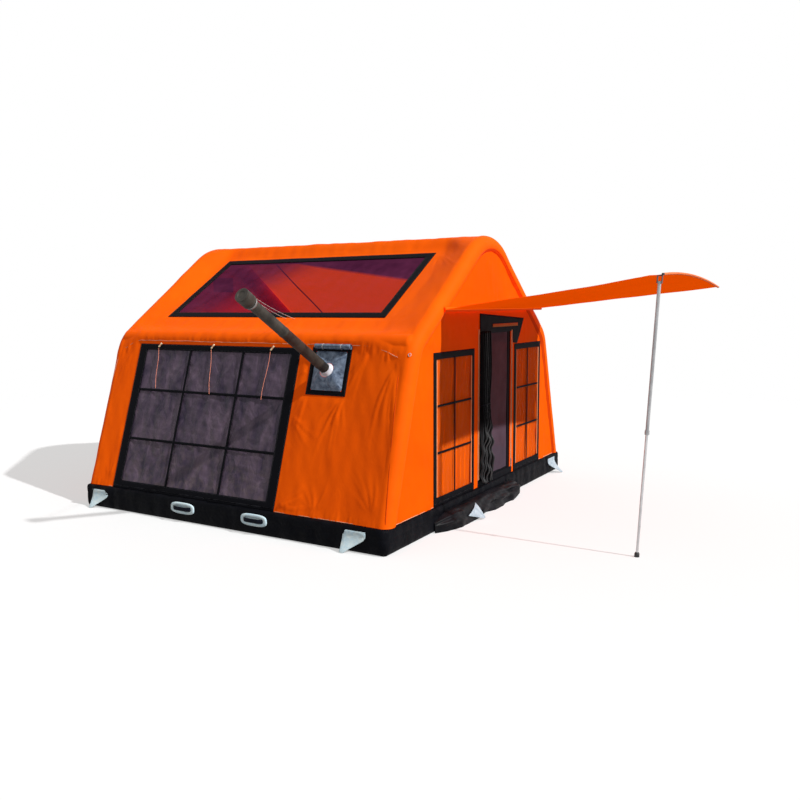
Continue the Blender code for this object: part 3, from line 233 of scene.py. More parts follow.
# The chimney's slant, with the sizes of its end, and the left roof's plane, where the stays are tied
pipe_rise = math.radians(30.8)
pipe_run = Vector((0.0, -math.cos(pipe_rise), math.sin(pipe_rise)))
pipe_up = Vector((0.0, math.sin(pipe_rise), math.cos(pipe_rise)))
pipe_start = on_wall(0.873, 1.315, 0.035)
pipe_outside, cap_lap, collar_gap, collar_length, collar_radius = 1.10, 0.05, 0.012, 0.018, 0.047
roof_slope = math.radians(32.3)
roof_peak = 2.41703
roof_out = Vector((0.0, -math.sin(roof_slope), math.cos(roof_slope)))
stay_radius, stay_sag, stay_steps = 0.0016, Vector((0.0, 0.0, 0.048)), 28
for side, anchor_x, name in ((-1.0, 0.16, "chimney_stay_rear"), (1.0, 0.25, "chimney_stay_front")):
    middle = pipe_start + pipe_run * (pipe_outside - cap_lap - collar_gap - collar_length / 2)
    outward = (east * side * 0.35 + pipe_up).normalized()
    first = middle + outward * (collar_radius + stay_radius + 0.0003)
    last = Vector((anchor_x, -1.30 * math.cos(roof_slope), roof_peak - 1.30 * math.sin(roof_slope)))
    last += roof_out * (stay_radius + 0.0006)
    shares = [k / stay_steps for k in range(stay_steps + 1)]
    route = [first.lerp(last, share) - stay_sag * share * (1 - share) for share in shares]
    stay = finish_piece(cord_curve(name + "_line", route, stay_radius, white_braid), "tent", "cord_weave", name)

toggle_places = (-1.053, -0.405, 0.265)
pull_radius, pull_steps = 0.002, 40
for index, (toggle_x, fall, drift) in enumerate(zip(toggle_places, (0.38, 0.40, 0.42), (0.06, 0.075, -0.01))):
    top = (1.49 - ring_top) / wall_up.z - 0.012 - 0.025
    route = []
    for k in range(pull_steps + 1):
        share = k / pull_steps
        x = toggle_x - 0.02 + drift * share + 0.006 * math.sin(math.pi * 2 * share)
        route.append(wall_foot + east * x + wall_up * (top - fall * share)
                     + wall_out * (0.0006 + 0.004 + pull_radius))
    pull = finish_piece(cord_curve(f"window_pull_{index + 1}", route, pull_radius, pink_braid), "tent", "cord_weave",
                        f"toggle_cord_{index + 1}")


# The base ring: one fat tube of black PVC-coated cloth, welded into a rectangle. Overlapping weld
# bands run up it every half metre, and the skin crinkles where it turns the corners and meets them.
def coat_crinkle_group():
    """Shallow random creases in a coated skin: Height for a bump, Shade from 0 in a fold to 1 on a ridge."""
    tree, given, end = group_with("crinkle", ("Height", "Shade"), Size=9.0, Stretch=(1.0, 1.0, 1.0))
    stretched = new_node(tree, "VectorMath", object_place(tree), given["Stretch"], operation="MULTIPLY").outputs[0]
    shade = noise(tree, stretched, Scale=given["Size"], Detail=5.0, Roughness=0.55, Distortion=0.6)
    off_middle = reckon(tree, "ABSOLUTE", reckon(tree, "SUBTRACT", shade, 0.5))
    feed_all(tree, end, Height=spread(tree, off_middle, 1.0, 0.0, 0.0, 0.22), Shade=shade)
    return tree


def dust_group():
    """Pale dust that lies thickest low down: a mask from 0 to 1."""
    tree, given, end = group_with("dust", ("Mask",), Top=0.35)
    place = object_place(tree)
    fade = spread(tree, new_node(tree, "SeparateXYZ", place).outputs["Z"], 1.0, 0.0, 0.0, given["Top"])
    specks = spread(tree, noise(tree, place, Scale=14.0, Detail=6.0, Roughness=0.7), 0.0, 1.0, 0.45, 0.75)
    feed_all(tree, end, Mask=reckon(tree, "MULTIPLY", fade, specks))
    return tree


crinkle = coat_crinkle_group()
dust = dust_group()


def mixed_colour(tree, share, first, second):
    """The colour first where share is 0, and second where it is 1."""
    made = new_node(tree, "Mix", data_type="RGBA", Factor=share)
    feed(tree, made.inputs[6], first)
    feed(tree, made.inputs[7], second)
    return made.outputs[2]


def dusted(tree, colour, top, amount, powder=(0.30, 0.28, 0.25)):
    """The colour with dust over it up to the height top."""
    mask = reckon(tree, "MULTIPLY", use_group(tree, dust, Top=top)["Mask"], amount)
    return mixed_colour(tree, mask, colour, powder)


def coated_skin(name, dark, light, roughness, crease_size, crease_depth, dust_top=0.35, stretch=(1.0, 1.0, 1.0),
                gloss=0.35, dust_amount=0.09):
    """PVC-coated cloth: creases that catch the light, a fine grain and dust near the ground."""
    made, tree, shader = shader_material(name, gloss=gloss)
    creases = use_group(tree, crinkle, Size=crease_size, Stretch=stretch)
    colour = ramp(tree, creases["Shade"], (0.35, dark), (0.68, light))
    grain = bump(tree, noise(tree, object_place(tree), Scale=420.0, Detail=2.0), 0.15, 0.0006)
    feed_all(tree, shader, Base_Color=dusted(tree, colour, dust_top, dust_amount),
             Roughness=spread(tree, creases["Shade"], roughness - 0.10, roughness + 0.22),
             Normal=bump(tree, creases["Height"], 0.6, crease_depth, Normal=grain))
    return made


black_skin = coated_skin("black_pvc_skin", (0.0010, 0.0012, 0.0024), (0.0036, 0.0040, 0.0062), 0.50, 7.0, 0.006,
                         gloss=0.04, dust_amount=0.02)


def add_mesh(mesh, work, material, angle):
    """The work mesh as a smooth-shaded piece, with edges sharper than angle left sharp."""
    work.to_mesh(mesh)
    work.free()
    mesh.shade_smooth()
    mesh.set_sharp_from_angle(angle=math.radians(angle))
    mesh.materials.append(material)
    made = bpy.data.objects.new(mesh.name, mesh)
    bpy.context.scene.collection.objects.link(made)
    return made


def mesh_object(name, points, faces, material, angle):
    """A smooth-shaded piece with outward faces."""
    mesh = bpy.data.meshes.new(name)
    mesh.from_pydata([tuple(map(float, p)) for p in points], [], faces)
    work = bmesh.new()
    work.from_mesh(mesh)
    bmesh.ops.recalc_face_normals(work, faces=work.faces)
    return add_mesh(mesh, work, material, angle)


def ring_faces(rings, sides, closed):
    """Faces between rings of points, with end caps where the run isn't closed."""
    faces = []
    for k in range(rings if closed else rings - 1):
        here, there = k * sides, ((k + 1) % rings) * sides
        for i in range(sides):
            j = (i + 1) % sides
            faces.append((here + i, here + j, there + j, there + i))
    if not closed:
        faces.append(tuple(reversed(range(sides))))
        faces.append(tuple(range((rings - 1) * sides, rings * sides)))
    return faces


def smooth_share(value):
    value = np.clip(value, 0.0, 1.0)
    return value * value * (3 - 2 * value)


def ripple(a, b, size, seed):
    """A smooth, endless, uneven surface between about -1 and 1 with bumps of the given size."""
    parts = np.random.default_rng(seed)
    total = np.zeros(np.broadcast(a, b).shape)
    for _ in range(7):
        angle = parts.uniform(0, 2 * np.pi)
        pitch = 2 * np.pi / size * parts.uniform(0.55, 1.9)
        total = total + np.sin(pitch * (a * np.cos(angle) + b * np.sin(angle)) + parts.uniform(0, 6.28)) / 2.6
    return total


ring_length, ring_width, ring_height, ring_depth = 3.28, 3.74, ring_top, 0.26
ring_section = [(0.20, 0.0), (0.08, 0.004), (0.03, 0.05), (0.004, 0.16), (0.0, 0.30), (0.0, 0.45), (0.004, 0.58),
                (0.012, 0.62), (0.004, 0.66), (0.0, 0.76), (0.006, 0.88), (0.03, 0.97), (0.09, 1.0), (0.35, 1.0),
                (0.65, 1.0), (0.90, 0.99), (0.985, 0.90), (1.0, 0.70), (1.0, 0.30), (0.98, 0.08), (0.90, 0.0),
                (0.55, 0.0)]


def ring_stations():
    """Points round the ring: the outer corner line, the inward direction and the run so far."""
    half_x, half_y, turn = ring_length / 2, ring_width / 2, 0.05
    stations = []
    run = 0.0
    corners = ((1, -1), (1, 1), (-1, 1), (-1, -1))
    for index, (sx, sy) in enumerate(corners):
        px, py = corners[index - 1]
        start = np.array((px * half_x, py * half_y)) + np.array((sx - px, sy - py)) / 2 * turn
        stop = np.array((sx * half_x, sy * half_y)) - np.array((sx - px, sy - py)) / 2 * turn
        inward = -np.array((sx + px, sy + py)) / 2
        side_length = np.linalg.norm(stop - start)
        count = int(side_length / 0.035)
        for k in range(count):
            stations.append((start + (stop - start) * k / count, inward, run + side_length * k / count))
        run += side_length
        nx, ny = corners[(index + 1) % 4]
        after = -np.array((sx + nx, sy + ny)) / 2
        centre = stop + inward * turn
        for k in range(6):
            angle = math.pi / 2 * k / 6
            direction = inward * math.cos(angle) + after * math.sin(angle)
            stations.append((centre - direction * turn, direction, run + turn * angle))
        run += turn * math.pi / 2
    return stations


def make_base_ring():
    stations = ring_stations()
    place = np.array([s[0] for s in stations])[:, None, :]
    inward = np.array([s[1] for s in stations])[:, None, :]
    run = np.array([s[2] for s in stations])[:, None]
    corner = (np.abs(inward[..., 0] * inward[..., 1]) > 1e-6).astype(float)
    shares = np.array(ring_section)[None, :, :]
    inward_share, height_share = shares[..., 0], shares[..., 1]
    weld = np.exp(-((run % 0.52 - 0.26) / 0.012) ** 2)
    slack = 0.0035 * ripple(run, height_share * 0.05, 0.13, 3) + 0.004 * weld
    slack = slack + 0.004 * ripple(run, height_share * 0.02, 0.035, 5) * np.exp(-((height_share - 0.97) / 0.18) ** 2)
    slack = np.where((height_share < 0.02) | (inward_share > 0.5), 0.0, slack)
    behind_handle = (place[..., 1] < -1.86) & (np.abs(np.abs(place[..., 0]) - 0.3936) < 0.16)
    slack = np.where(behind_handle, 0.3 * slack, slack)
    depth = inward_share * ring_depth * (1.0 - 0.15 * corner)
    flat = place + inward * (depth - slack)[..., None]
    tall = np.maximum(height_share * ring_height + slack * 0.3, 0.0) * np.ones_like(run)
    points = np.concatenate([flat, tall[..., None]], axis=2).reshape(-1, 3)
    faces = ring_faces(len(stations), len(ring_section), True)
    finish_piece(mesh_object("base_ring_skin", points, faces, black_skin, 50), "tent", "black_pvc", "base_ring")


make_base_ring()


# The floor is a flat air mattress of the same black PVC, laid inside the ring. It only shows
# through the doorway and from below, so the plain deck keeps its shape and takes a quilted grain.
def repaint(material, *names):
    """Gives a better material to nodes that keep their CAD shapes."""
    for name in names:
        nodes[name].data.materials.clear()
        nodes[name].data.materials.append(material)


repaint(coated_skin("deck_pvc_skin", (0.012, 0.013, 0.016), (0.035, 0.036, 0.040), 0.55, 22.0, 0.002, 0.10, gloss=0.15),
        "floor_deck")


# The door skirt: a loose apron of black PVC that hangs over the ring and bunches up on the ground
# before the door. It has no air in it, so it lies in crumpled rolls that catch the sun.
slack_skin = coated_skin("slack_pvc_skin", (0.0022, 0.0025, 0.0036), (0.009, 0.009, 0.012), 0.38, 5.0, 0.002, 0.2,
                         gloss=0.08, dust_amount=0.03)
ring_front, skirt_reach, skirt_rise, skirt_ends = 1.6403, 0.13, 0.145, (-1.12, 0.62)


def skirt_section(turn):
    """The skirt's round section: how far out and how high, from the top of the ring to the ground."""
    return ring_front + skirt_reach * np.sin(turn) ** 0.8, skirt_rise * np.abs(np.cos(turn)) ** 0.7


def make_door_skirt():
    rows, round_steps = 174, 26
    low_y, high_y = skirt_ends
    y = np.linspace(low_y, high_y, rows + 1)[:, None]
    turn = np.linspace(0.0, np.pi / 2, round_steps)[None, :]
    full = 0.10 + 0.90 * smooth_share(np.minimum(y - low_y, high_y - y) / 0.26) ** 0.6
    calm = smooth_share((np.abs(y + 0.600) - 0.12) / 0.08)
    fold = 0.17 * ripple(y * 0.20, turn * 0.085, 0.060, 11) + 0.03 * ripple(y * 0.5, turn * 0.08, 0.055, 12)
    fold = (fold + 0.06 * np.sin(2 * turn) * np.sin(9 * y + 5 * turn)) * calm * np.sin(turn)
    out, up = skirt_section(turn)
    x = ring_front + np.clip((out - ring_front) * (0.92 + fold), 0.0, skirt_reach) * full
    z = up * (1.0 + 0.35 * fold * np.cos(turn)) * (0.55 + 0.45 * full)
    back = np.linspace(0.0, 1.0, 6)[None, 1:-1] * z[:, :1]
    x = np.concatenate([x, np.full_like(back, ring_front)], axis=1)
    z = np.concatenate([z, back], axis=1)
    points = np.stack([x, y * np.ones_like(x), np.maximum(z, 0.0)], axis=2).reshape(-1, 3)
    finish_piece(mesh_object("door_skirt_folds", points, ring_faces(rows + 1, x.shape[1], False), slack_skin, 60),
                 "tent", "black_pvc", "door_skirt")


make_door_skirt()


# The silver anchor tabs: patches of silver PVC welded to the ring, which taper to a tongue that
# meets the ground. Below them the two handles: a silver oval patch with a raised rim and a dark grip.
# These are lit and shaded copies of the silver. silver_skin is painted brighter for the tabs and handles in the long
# wall's shade, and sunlit_silver is painted darker for the tabs in the sun at the door end.
silver_skin = coated_skin("silver_pvc_skin", (0.66, 0.88, 1.0), (0.88, 1.0, 1.0), 0.36, 26.0, 0.0012, 0.10,
                          gloss=0.30)
sunlit_silver = coated_skin("silver_pvc_sunlit", (0.30, 0.38, 0.45), (0.52, 0.61, 0.67), 0.40, 26.0, 0.0012, 0.10,
                            gloss=0.20)
dark_grip = coated_skin("grip_pvc_skin", (0.002, 0.003, 0.007), (0.010, 0.012, 0.022), 0.55, 60.0, 0.001, 0.1,
                        gloss=0.05)


def patch_loft(name, rows, columns, surface, thickness, material):
    """A thin closed patch over a rows by columns grid of places, lifted by thickness along each normal."""
    points = []
    for lift in (0.0, thickness):
        for i in range(rows + 1):
            for j in range(columns + 1):
                place, normal = surface(i / rows, j / columns)
                rim = min(i, rows - i, j, columns - j)
                points.append(place + normal * lift * (0.35 if rim == 0 and lift > 0.0 else 1.0))
    size = (rows + 1) * (columns + 1)

    def at(i, j, side):
        return side * size + i * (columns + 1) + j

    faces = []
    for i in range(rows):
        for j in range(columns):
            faces.append((at(i, j, 0), at(i, j + 1, 0), at(i + 1, j + 1, 0), at(i + 1, j, 0)))
            faces.append((at(i, j, 1), at(i + 1, j, 1), at(i + 1, j + 1, 1), at(i, j + 1, 1)))
    for i in range(rows):
        faces.append((at(i, 0, 0), at(i + 1, 0, 0), at(i + 1, 0, 1), at(i, 0, 1)))
        faces.append((at(i, columns, 0), at(i, columns, 1), at(i + 1, columns, 1), at(i + 1, columns, 0)))
    for j in range(columns):
        faces.append((at(0, j, 0), at(0, j, 1), at(0, j + 1, 1), at(0, j + 1, 0)))
        faces.append((at(rows, j, 0), at(rows, j + 1, 0), at(rows, j + 1, 1), at(rows, j, 1)))
    return mesh_object(name, points, faces, material, 50)


def make_tab(node, face, side, out, reach, skin):
    """face is the tab's place at the ground and side runs along the wall, from the tab's straight
    edge to the edge that is cut back; out points away from the wall, and reach is the tip's stand."""
    profile = ((0.168, 0.0, 0.200), (0.150, 0.01, 0.203), (0.128, 0.02, 0.203), (0.105, 0.11, 0.190),
               (0.080, 0.26, 0.152), (0.055, 0.48, 0.112), (0.030, 0.74, 0.073), (0.004, 1.0, 0.040))

    def surface(u, v):
        at = u * (len(profile) - 1)
        k = min(int(at), len(profile) - 2)
        height, stand, width = (profile[k][c] + (profile[k + 1][c] - profile[k][c]) * (at - k) for c in range(3))
        crown = 0.004 * (1 - (2 * v - 1) ** 2) * u
        buckle = 0.0016 * float(ripple(v * 0.2, u * 0.2, 0.05, 21))
        place = face + side * (width * v - 0.10) + out * (stand * reach + 0.0006 + crown + abs(buckle))
        return place + Vector((0.0, 0.0, height)), out

    finish_piece(patch_loft(node + "_patch", 16, 14, surface, 0.0035, skin), "tent", "silver_pvc", node)


ring_side = -1.8703
make_tab("anchor_tab_left_rear", Vector((-1.4268, ring_side, 0.0)), east, -north, 0.056, silver_skin)
make_tab("anchor_tab_left_front", Vector((1.3612, ring_side, 0.0)), east, -north, 0.056, silver_skin)
make_tab("anchor_tab_front_right", Vector((ring_front, 1.6082, 0.0)), -north, east, 0.100, sunlit_silver)


def make_skirt_tab():
    """The small tab that lies over the skirt's roll before the door."""
    def surface(u, v):
        wide, tip = (-0.735 + 0.225 * v, 0.072 + 0.058 * v), (-0.540 + 0.035 * v, 0.012)
        y, z = (a + (b - a) * u for a, b in zip(wide, tip))
        turn = math.acos(min(1.0, (z / skirt_rise) ** (1 / 0.7)))
        x = float(skirt_section(turn)[0]) + 0.002 + 0.045 * u ** 2 + 0.003 * math.sin(math.pi * v)
        return Vector((x, y, z)), Vector((math.sin(turn), 0.0, math.cos(turn)))

    finish_piece(patch_loft("skirt_tab_patch", 12, 12, surface, 0.003, sunlit_silver), "tent", "silver_pvc",
                 "anchor_tab_front_left")


make_skirt_tab()


def superellipse(width, height, count, power=3.2):
    points = []
    for k in range(count):
        angle = 2 * math.pi * k / count
        c, s = math.cos(angle), math.sin(angle)
        scale = (abs(c) ** power + abs(s) ** power) ** (-1 / power)
        points.append((width / 2 * c * scale, height / 2 * s * scale))
    return points


def make_handle(node, x):
    """The welded patch with its thick rim, and the strap across it that a hand goes behind."""
    count, middle_z = 64, 0.122
    rings = ((0.27, 0.100, 0.0), (0.27, 0.100, 0.004), (0.264, 0.094, 0.008), (0.246, 0.078, 0.0115),
             (0.216, 0.056, 0.0115), (0.204, 0.046, 0.008), (0.200, 0.042, 0.003))
    points = [(x + px, ring_side - 0.0001 - lift, middle_z + pz) for width, height, lift in rings
              for px, pz in superellipse(width, height, count)]
    patch = mesh_object(node + "_patch", points, ring_faces(len(rings), count, False), silver_skin, 60)
    finish_piece(patch, "tent", "silver_pvc", node)
    rows, sides = 34, 12
    points = []
    for k in range(rows + 1):
        share = k / rows
        px = x - 0.098 + 0.196 * share
        lift = 0.009 + 0.0185 * min(1.0, 5.2 * min(share, 1 - share)) ** 0.7
        for i in range(sides):
            angle = 2 * math.pi * i / sides
            wide = 0.0185 * (1.0 - 0.10 * math.sin(math.pi * share))
            points.append((px, ring_side - lift - 0.0036 * math.sin(angle), middle_z + wide * math.cos(angle)))
    finish_piece(mesh_object(node + "_grip", points, ring_faces(rows + 1, sides, False), dark_grip, 50),
                 "tent", "silver_pvc")


for handle_x, handle_node in ((-0.3936, "grab_handle_rear"), (0.3936, "grab_handle_front")):
    make_handle(handle_node, handle_x)


# The inflation valve on the rear of the ring: a moulded black nylon body with a ribbed cap.
# Both are the right shape from the CAD, so they keep it and take a moulded grain.
def moulded_plastic(name, colour, roughness, grain_size=900.0):
    made, tree, shader = shader_material(name, roughness)
    place = object_place(tree)
    light = tuple(min(1.0, c * 1.6 + 0.008) for c in colour)
    wear = noise(tree, place, Scale=60.0, Detail=5.0)
    grain = noise(tree, place, Scale=grain_size, Detail=2.0)
    feed_all(tree, shader, Base_Color=ramp(tree, wear, (0.3, colour), (0.8, light)),
             Normal=bump(tree, grain, 0.25, 0.0003))
    return made


black_nylon = moulded_plastic("black_nylon", (0.012, 0.012, 0.013), 0.48)
repaint(black_nylon, "valve_body", "valve_cap")


# The inflated frame: two arches, a ridge tube and two eave tubes. They are airtight bladders in
# woven orange sleeves, and the canopy hides all but a little of them, so they keep the CAD shapes.
def weave_group():
    """Plain woven threads: a height, and a shade that differs a little from thread to thread."""
    tree, given, end = group_with("weave", ("Height", "Shade"), Threads=700.0)
    place = object_place(tree)
    x, y, z = (stripes(tree, place, direction, given["Threads"]) for direction in ("X", "Y", "Z"))
    total = reckon(tree, "ADD", reckon(tree, "ADD", x, y), z)
    feed_all(tree, end, Height=reckon(tree, "MULTIPLY", total, 0.3333),
             Shade=noise(tree, place, Scale=2.2, Detail=7.0, Roughness=0.62))
    return tree


weave = weave_group()


def woven_cloth(name, deep, bright, roughness=0.62, threads=700.0, crease_size=5.0, crease_depth=0.004,
                glow=(0.0, 0.0, 0.0), seep=(0.0, 0.0, 0.0), gloss=0.05):
    """Coated woven cloth: uneven dye, soft creases, fine threads. glow is the light that comes
    through to its inner face, and seep what comes back out through its outer face."""
    made, tree, shader = shader_material(name, gloss=gloss)
    woven = use_group(tree, weave, Threads=threads)
    creases = use_group(tree, crinkle, Size=crease_size)
    inner = new_node(tree, "NewGeometry").outputs["Backfacing"]
    feed_all(tree, shader, Base_Color=ramp(tree, woven["Shade"], (0.30, deep), (0.70, bright)),
             Roughness=spread(tree, woven["Shade"], roughness - 0.10, roughness + 0.14),
             Emission_Color=mixed_colour(tree, inner, seep, glow), Emission_Strength=1.0,
             Normal=bump(tree, creases["Height"], 0.22, crease_depth, Normal=bump(tree, woven["Height"], 0.2, 0.0005)))
    return made


orange_deep, orange_bright, orange_seep = (0.86, 0.110, 0.0008), (0.97, 0.134, 0.0010), (0.10, 0.002, 0.0)
orange_glow = (0.56, 0.050, 0.001)
orange_cloth = woven_cloth("orange_canopy_cloth", orange_deep, orange_bright, glow=orange_glow, seep=orange_seep)
sleeve_cloth = woven_cloth("orange_sleeve_cloth", (0.60, 0.050, 0.002), (0.74, 0.072, 0.003), crease_size=16.0)
repaint(sleeve_cloth, "front_arch_tube", "rear_arch_tube", "ridge_tube", "eave_tube_left", "eave_tube_right")


# The canopy: one continuous sheet of orange coated cloth, from the left foot over the eave, the
# ridge and the other eave to the right foot, and wrapped round both arches to the gable seams.
# It sags between the arches, and puckers along the eaves, round the openings and at the corners.
eave_turn, peak_turn = 0.33, 0.57
arch_inner, arch_middle_x, arch_radius = 1.545, 1.56, 0.0835
eave_tube_out, eave_tube_tall, eave_tube_radius = 1.322, 1.527, 0.0885
ridge_tube_tall, ridge_wrap_radius, crown_half = 2.353, 0.0935, 0.055
arch_pitch = math.radians(36.0)
arch_peak_corner = eave_tall + eave_out * math.tan(arch_pitch)
wall_steps, eave_steps, roof_steps, peak_steps = 92, 22, 96, 10


def fillet(before, corner, after, radius, steps):
    """Points on the arc of radius that rounds a corner of a 2-D line."""
    a = (np.array(before) - corner) / np.linalg.norm(np.array(before) - corner)
    b = (np.array(after) - corner) / np.linalg.norm(np.array(after) - corner)
    half = math.acos(float(a @ b)) / 2
    reach = radius / math.tan(half)
    centre = np.array(corner) + (a + b) / np.linalg.norm(a + b) * radius / math.sin(half)
    start, stop = np.array(corner) + a * reach - centre, np.array(corner) + b * reach - centre
    turn = math.acos(float(start @ stop) / radius ** 2)
    shares = np.linspace(0.0, 1.0, steps + 1)[:, None]
    return centre + (start * np.sin((1 - shares) * turn) + stop * np.sin(shares * turn)) / math.sin(turn)


def evenly(a, b, steps):
    return np.linspace(np.array(a, float), np.array(b, float), steps + 1)


def arch_line():
    """The left half of the arch's outside, from the foot to the top, as (y, z)."""
    foot, eave, top, far = (-foot_out, ring_top), (-eave_out, eave_tall), (0.0, arch_peak_corner), (eave_out, eave_tall)
    bend = fillet(foot, eave, top, eave_turn, eave_steps)
    crown = fillet(eave, top, far, peak_turn, 2 * peak_steps)[:peak_steps + 1]
    wall, roof = evenly(foot, bend[0], wall_steps), evenly(bend[-1], crown[0], roof_steps)
    return np.vstack([wall[:-1], bend, roof[1:-1], crown])


def skin_line():
    """The left half of the skin between the arches, with the same number of points in each part."""
    angles = np.radians(162.4 - 46.0 * np.linspace(0.0, 1.0, eave_steps + 1))
    bend = np.array((-eave_tube_out, eave_tube_tall)) + eave_tube_radius * np.stack([np.cos(angles), np.sin(angles)],
                                                                                    axis=1)
    foot = np.array((wall_foot.y, ring_top))
    wall = evenly(foot, bend[0], wall_steps)
    lift = smooth_share((wall[:, 1] - 1.492) / 0.056)
    straight = foot[0] + 0.3169 * (wall[:, 1] - ring_top)
    wall[:, 0] = straight * (1 - lift) + wall[:, 0] * lift
    slope = np.array((math.cos(roof_slope), math.sin(roof_slope)))
    rise = np.array((-math.sin(roof_slope), math.cos(roof_slope)))
    peak = np.array((0.0, roof_peak))
    low, start_lift = float((bend[-1] - peak) @ slope), float((bend[-1] - peak) @ rise)
    along = np.linspace(low, -0.062, roof_steps + 1)[1:-1]
    off = start_lift * np.exp(-((along - low) / 0.085) ** 2) + 0.041 * np.exp(-((along + 0.034) / 0.09) ** 2)
    roof = peak + slope * along[:, None] + rise * off[:, None]
    crown_y = -crown_half * np.linspace(1.0, 0.0, peak_steps + 1)
    crown = np.stack([crown_y, ridge_tube_tall + np.sqrt(ridge_wrap_radius ** 2 - crown_y ** 2)], axis=1)
    return np.vstack([wall[:-1], bend, roof, crown])


def whole(left):
    return np.vstack([left, left[:-1][::-1] * np.array((-1.0, 1.0))])


def outward_of(points):
    run = np.gradient(points, axis=0)
    run /= np.linalg.norm(run, axis=1)[:, None]
    return np.stack([-run[:, 1], run[:, 0]], axis=1)


arch_outline, skin_outline = whole(arch_line()), whole(skin_line())
for _ in range(3):
    skin_outline[1:-1] = (skin_outline[:-2] + 2 * skin_outline[1:-1] + skin_outline[2:]) / 4
skin_run = np.concatenate([[0.0], np.cumsum(np.linalg.norm(np.diff(skin_outline, axis=0), axis=1))])


def taut_share(value):
    """Like cloth pulled straight from an arch to a frame: even at first, and eased where it lands."""
    value = np.clip(value, 0.0, 1.0)
    return np.where(value < 0.6, value * 1.25, 1.0 - 0.25 * ((1.0 - value) / 0.4) ** 2)


def skin_share(x):
    """0 beside an arch, rising to 1 where the canopy lies on the skin's own line."""
    return np.minimum(taut_share((x + arch_inner) / 0.235), taut_share((arch_inner - x) / 0.365))


def folds(a, b, lines):
    """Height of single creases: each line is (a0, b0, a1, b1, width, height), fading at both ends."""
    total = np.zeros(np.broadcast(a, b).shape)
    for a0, b0, a1, b1, width, height in lines:
        run = np.hypot(a1 - a0, b1 - b0)
        ua, ub = (a1 - a0) / run, (b1 - b0) / run
        along = (a - a0) * ua + (b - b0) * ub
        off = -(a - a0) * ub + (b - b0) * ua + 0.05 * run * np.sin(np.pi * along / run)
        share = np.clip(along / run, 0.0, 1.0)
        ends = smooth_share(share / 0.15) * smooth_share((1.0 - share) / 0.75)
        total = total + height * np.exp(-(off / (width * (0.7 + 1.1 * share))) ** 2) * ends
    return total


def fan(centre_a, centre_b, from_angle, to_angle, count, near, far, width, height, seed):
    """Creases that radiate from a point, such as the pull of a seam's end."""
    parts = np.random.default_rng(seed)
    lines = []
    for k in range(count):
        angle = math.radians(from_angle + (to_angle - from_angle) * (k + parts.uniform(0.1, 0.9)) / count)
        start = near * parts.uniform(0.8, 1.3)
        stop = start + (far - near) * parts.uniform(0.45, 1.0)
        lines.append((centre_a + start * math.cos(angle), centre_b + start * math.sin(angle),
                      centre_a + stop * math.cos(angle), centre_b + stop * math.sin(angle),
                      width * parts.uniform(0.7, 1.4), height * parts.uniform(0.5, 1.2)))
    return lines


def slope_run(z):
    """How far up the left side's outline a height is."""
    half = len(skin_outline) // 2
    return float(np.interp(z, skin_outline[:half, 1], skin_run[:half]))


# Frames and openings on the left side, as (low x, high x, low run, high run) up the outline
window_rect = (-1.312, 0.560, slope_run(0.215), slope_run(1.490))
skylight_rect = (-1.300, 1.166, slope_run(1.7333), slope_run(2.3057))
jack_rect = (0.6805, 1.0655, slope_run(1.1226), slope_run(1.5088))
openings_left = ((-1.240, 0.488, slope_run(0.250), slope_run(1.455)),
                 (-1.260, 1.130, slope_run(1.753), slope_run(2.283)),
                 (0.700, 1.046, slope_run(1.142), slope_run(1.489)))


def clear_of(a, b, rects, reach):
    """0 on a rectangle, rising to 1 at reach away from it."""
    share = np.ones(np.broadcast(a, b).shape)
    for low_a, high_a, low_b, high_b in rects:
        gap_a = np.maximum(np.maximum(low_a - a, a - high_a), 0.0)
        gap_b = np.maximum(np.maximum(low_b - b, b - high_b), 0.0)
        share = share * smooth_share((np.hypot(gap_a, gap_b) - 0.006) / reach)
    return share


eave_at = slope_run(1.50)
left_creases = (
    fan(1.24, slope_run(1.49), -130, -100, 7, 0.02, 0.85, 0.008, 0.0060, 42)
    + fan(1.05, slope_run(1.13), -140, -70, 7, 0.02, 0.70, 0.008, 0.0055, 43)
    + fan(0.70, slope_run(1.12), -125, -85, 4, 0.01, 0.45, 0.008, 0.0045, 44)
    + fan(0.66, slope_run(1.30), 150, 230, 5, 0.005, 0.10, 0.006, 0.0050, 54)
    + fan(-1.42, slope_run(1.46), -110, -70, 6, 0.02, 0.50, 0.007, 0.0035, 45)
    + fan(-1.40, slope_run(0.26), 60, 120, 5, 0.03, 0.34, 0.008, 0.0035, 46)
    + fan(1.49, slope_run(1.47), -104, -78, 6, 0.03, 1.05, 0.009, 0.0055, 47)
    + fan(1.50, slope_run(0.26), 95, 150, 6, 0.04, 0.60, 0.009, 0.0045, 48)
    + fan(-1.42, slope_run(1.95), -80, 80, 10, 0.02, 0.34, 0.008, 0.0030, 49)
    + fan(1.20, slope_run(2.30), -85, -20, 9, 0.03, 0.55, 0.008, 0.0034, 51)
    + fan(1.20, slope_run(1.72), -30, 60, 7, 0.03, 0.36, 0.008, 0.0030, 55)
    + fan(0.575, slope_run(0.24), 4, 50, 6, 0.02, 0.60, 0.009, 0.0060, 52)
    + fan(0.575, slope_run(0.95), -60, -15, 5, 0.02, 0.50, 0.009, 0.0045, 53)
    + fan(0.95, slope_run(0.23), 40, 150, 7, 0.03, 0.36, 0.009, 0.0040, 56))


def canopy_stations():
    """The places across the canopy: x, and how far round an arch in degrees or -1 between them."""
    between = [(float(x), -1.0) for x in np.arange(-arch_inner, arch_inner + 0.0001, 0.0125)]
    angles = [float(a) for a in range(0, 111, 10)]
    return [(-arch_middle_x, a) for a in reversed(angles)] + between + [(arch_middle_x, a) for a in angles]


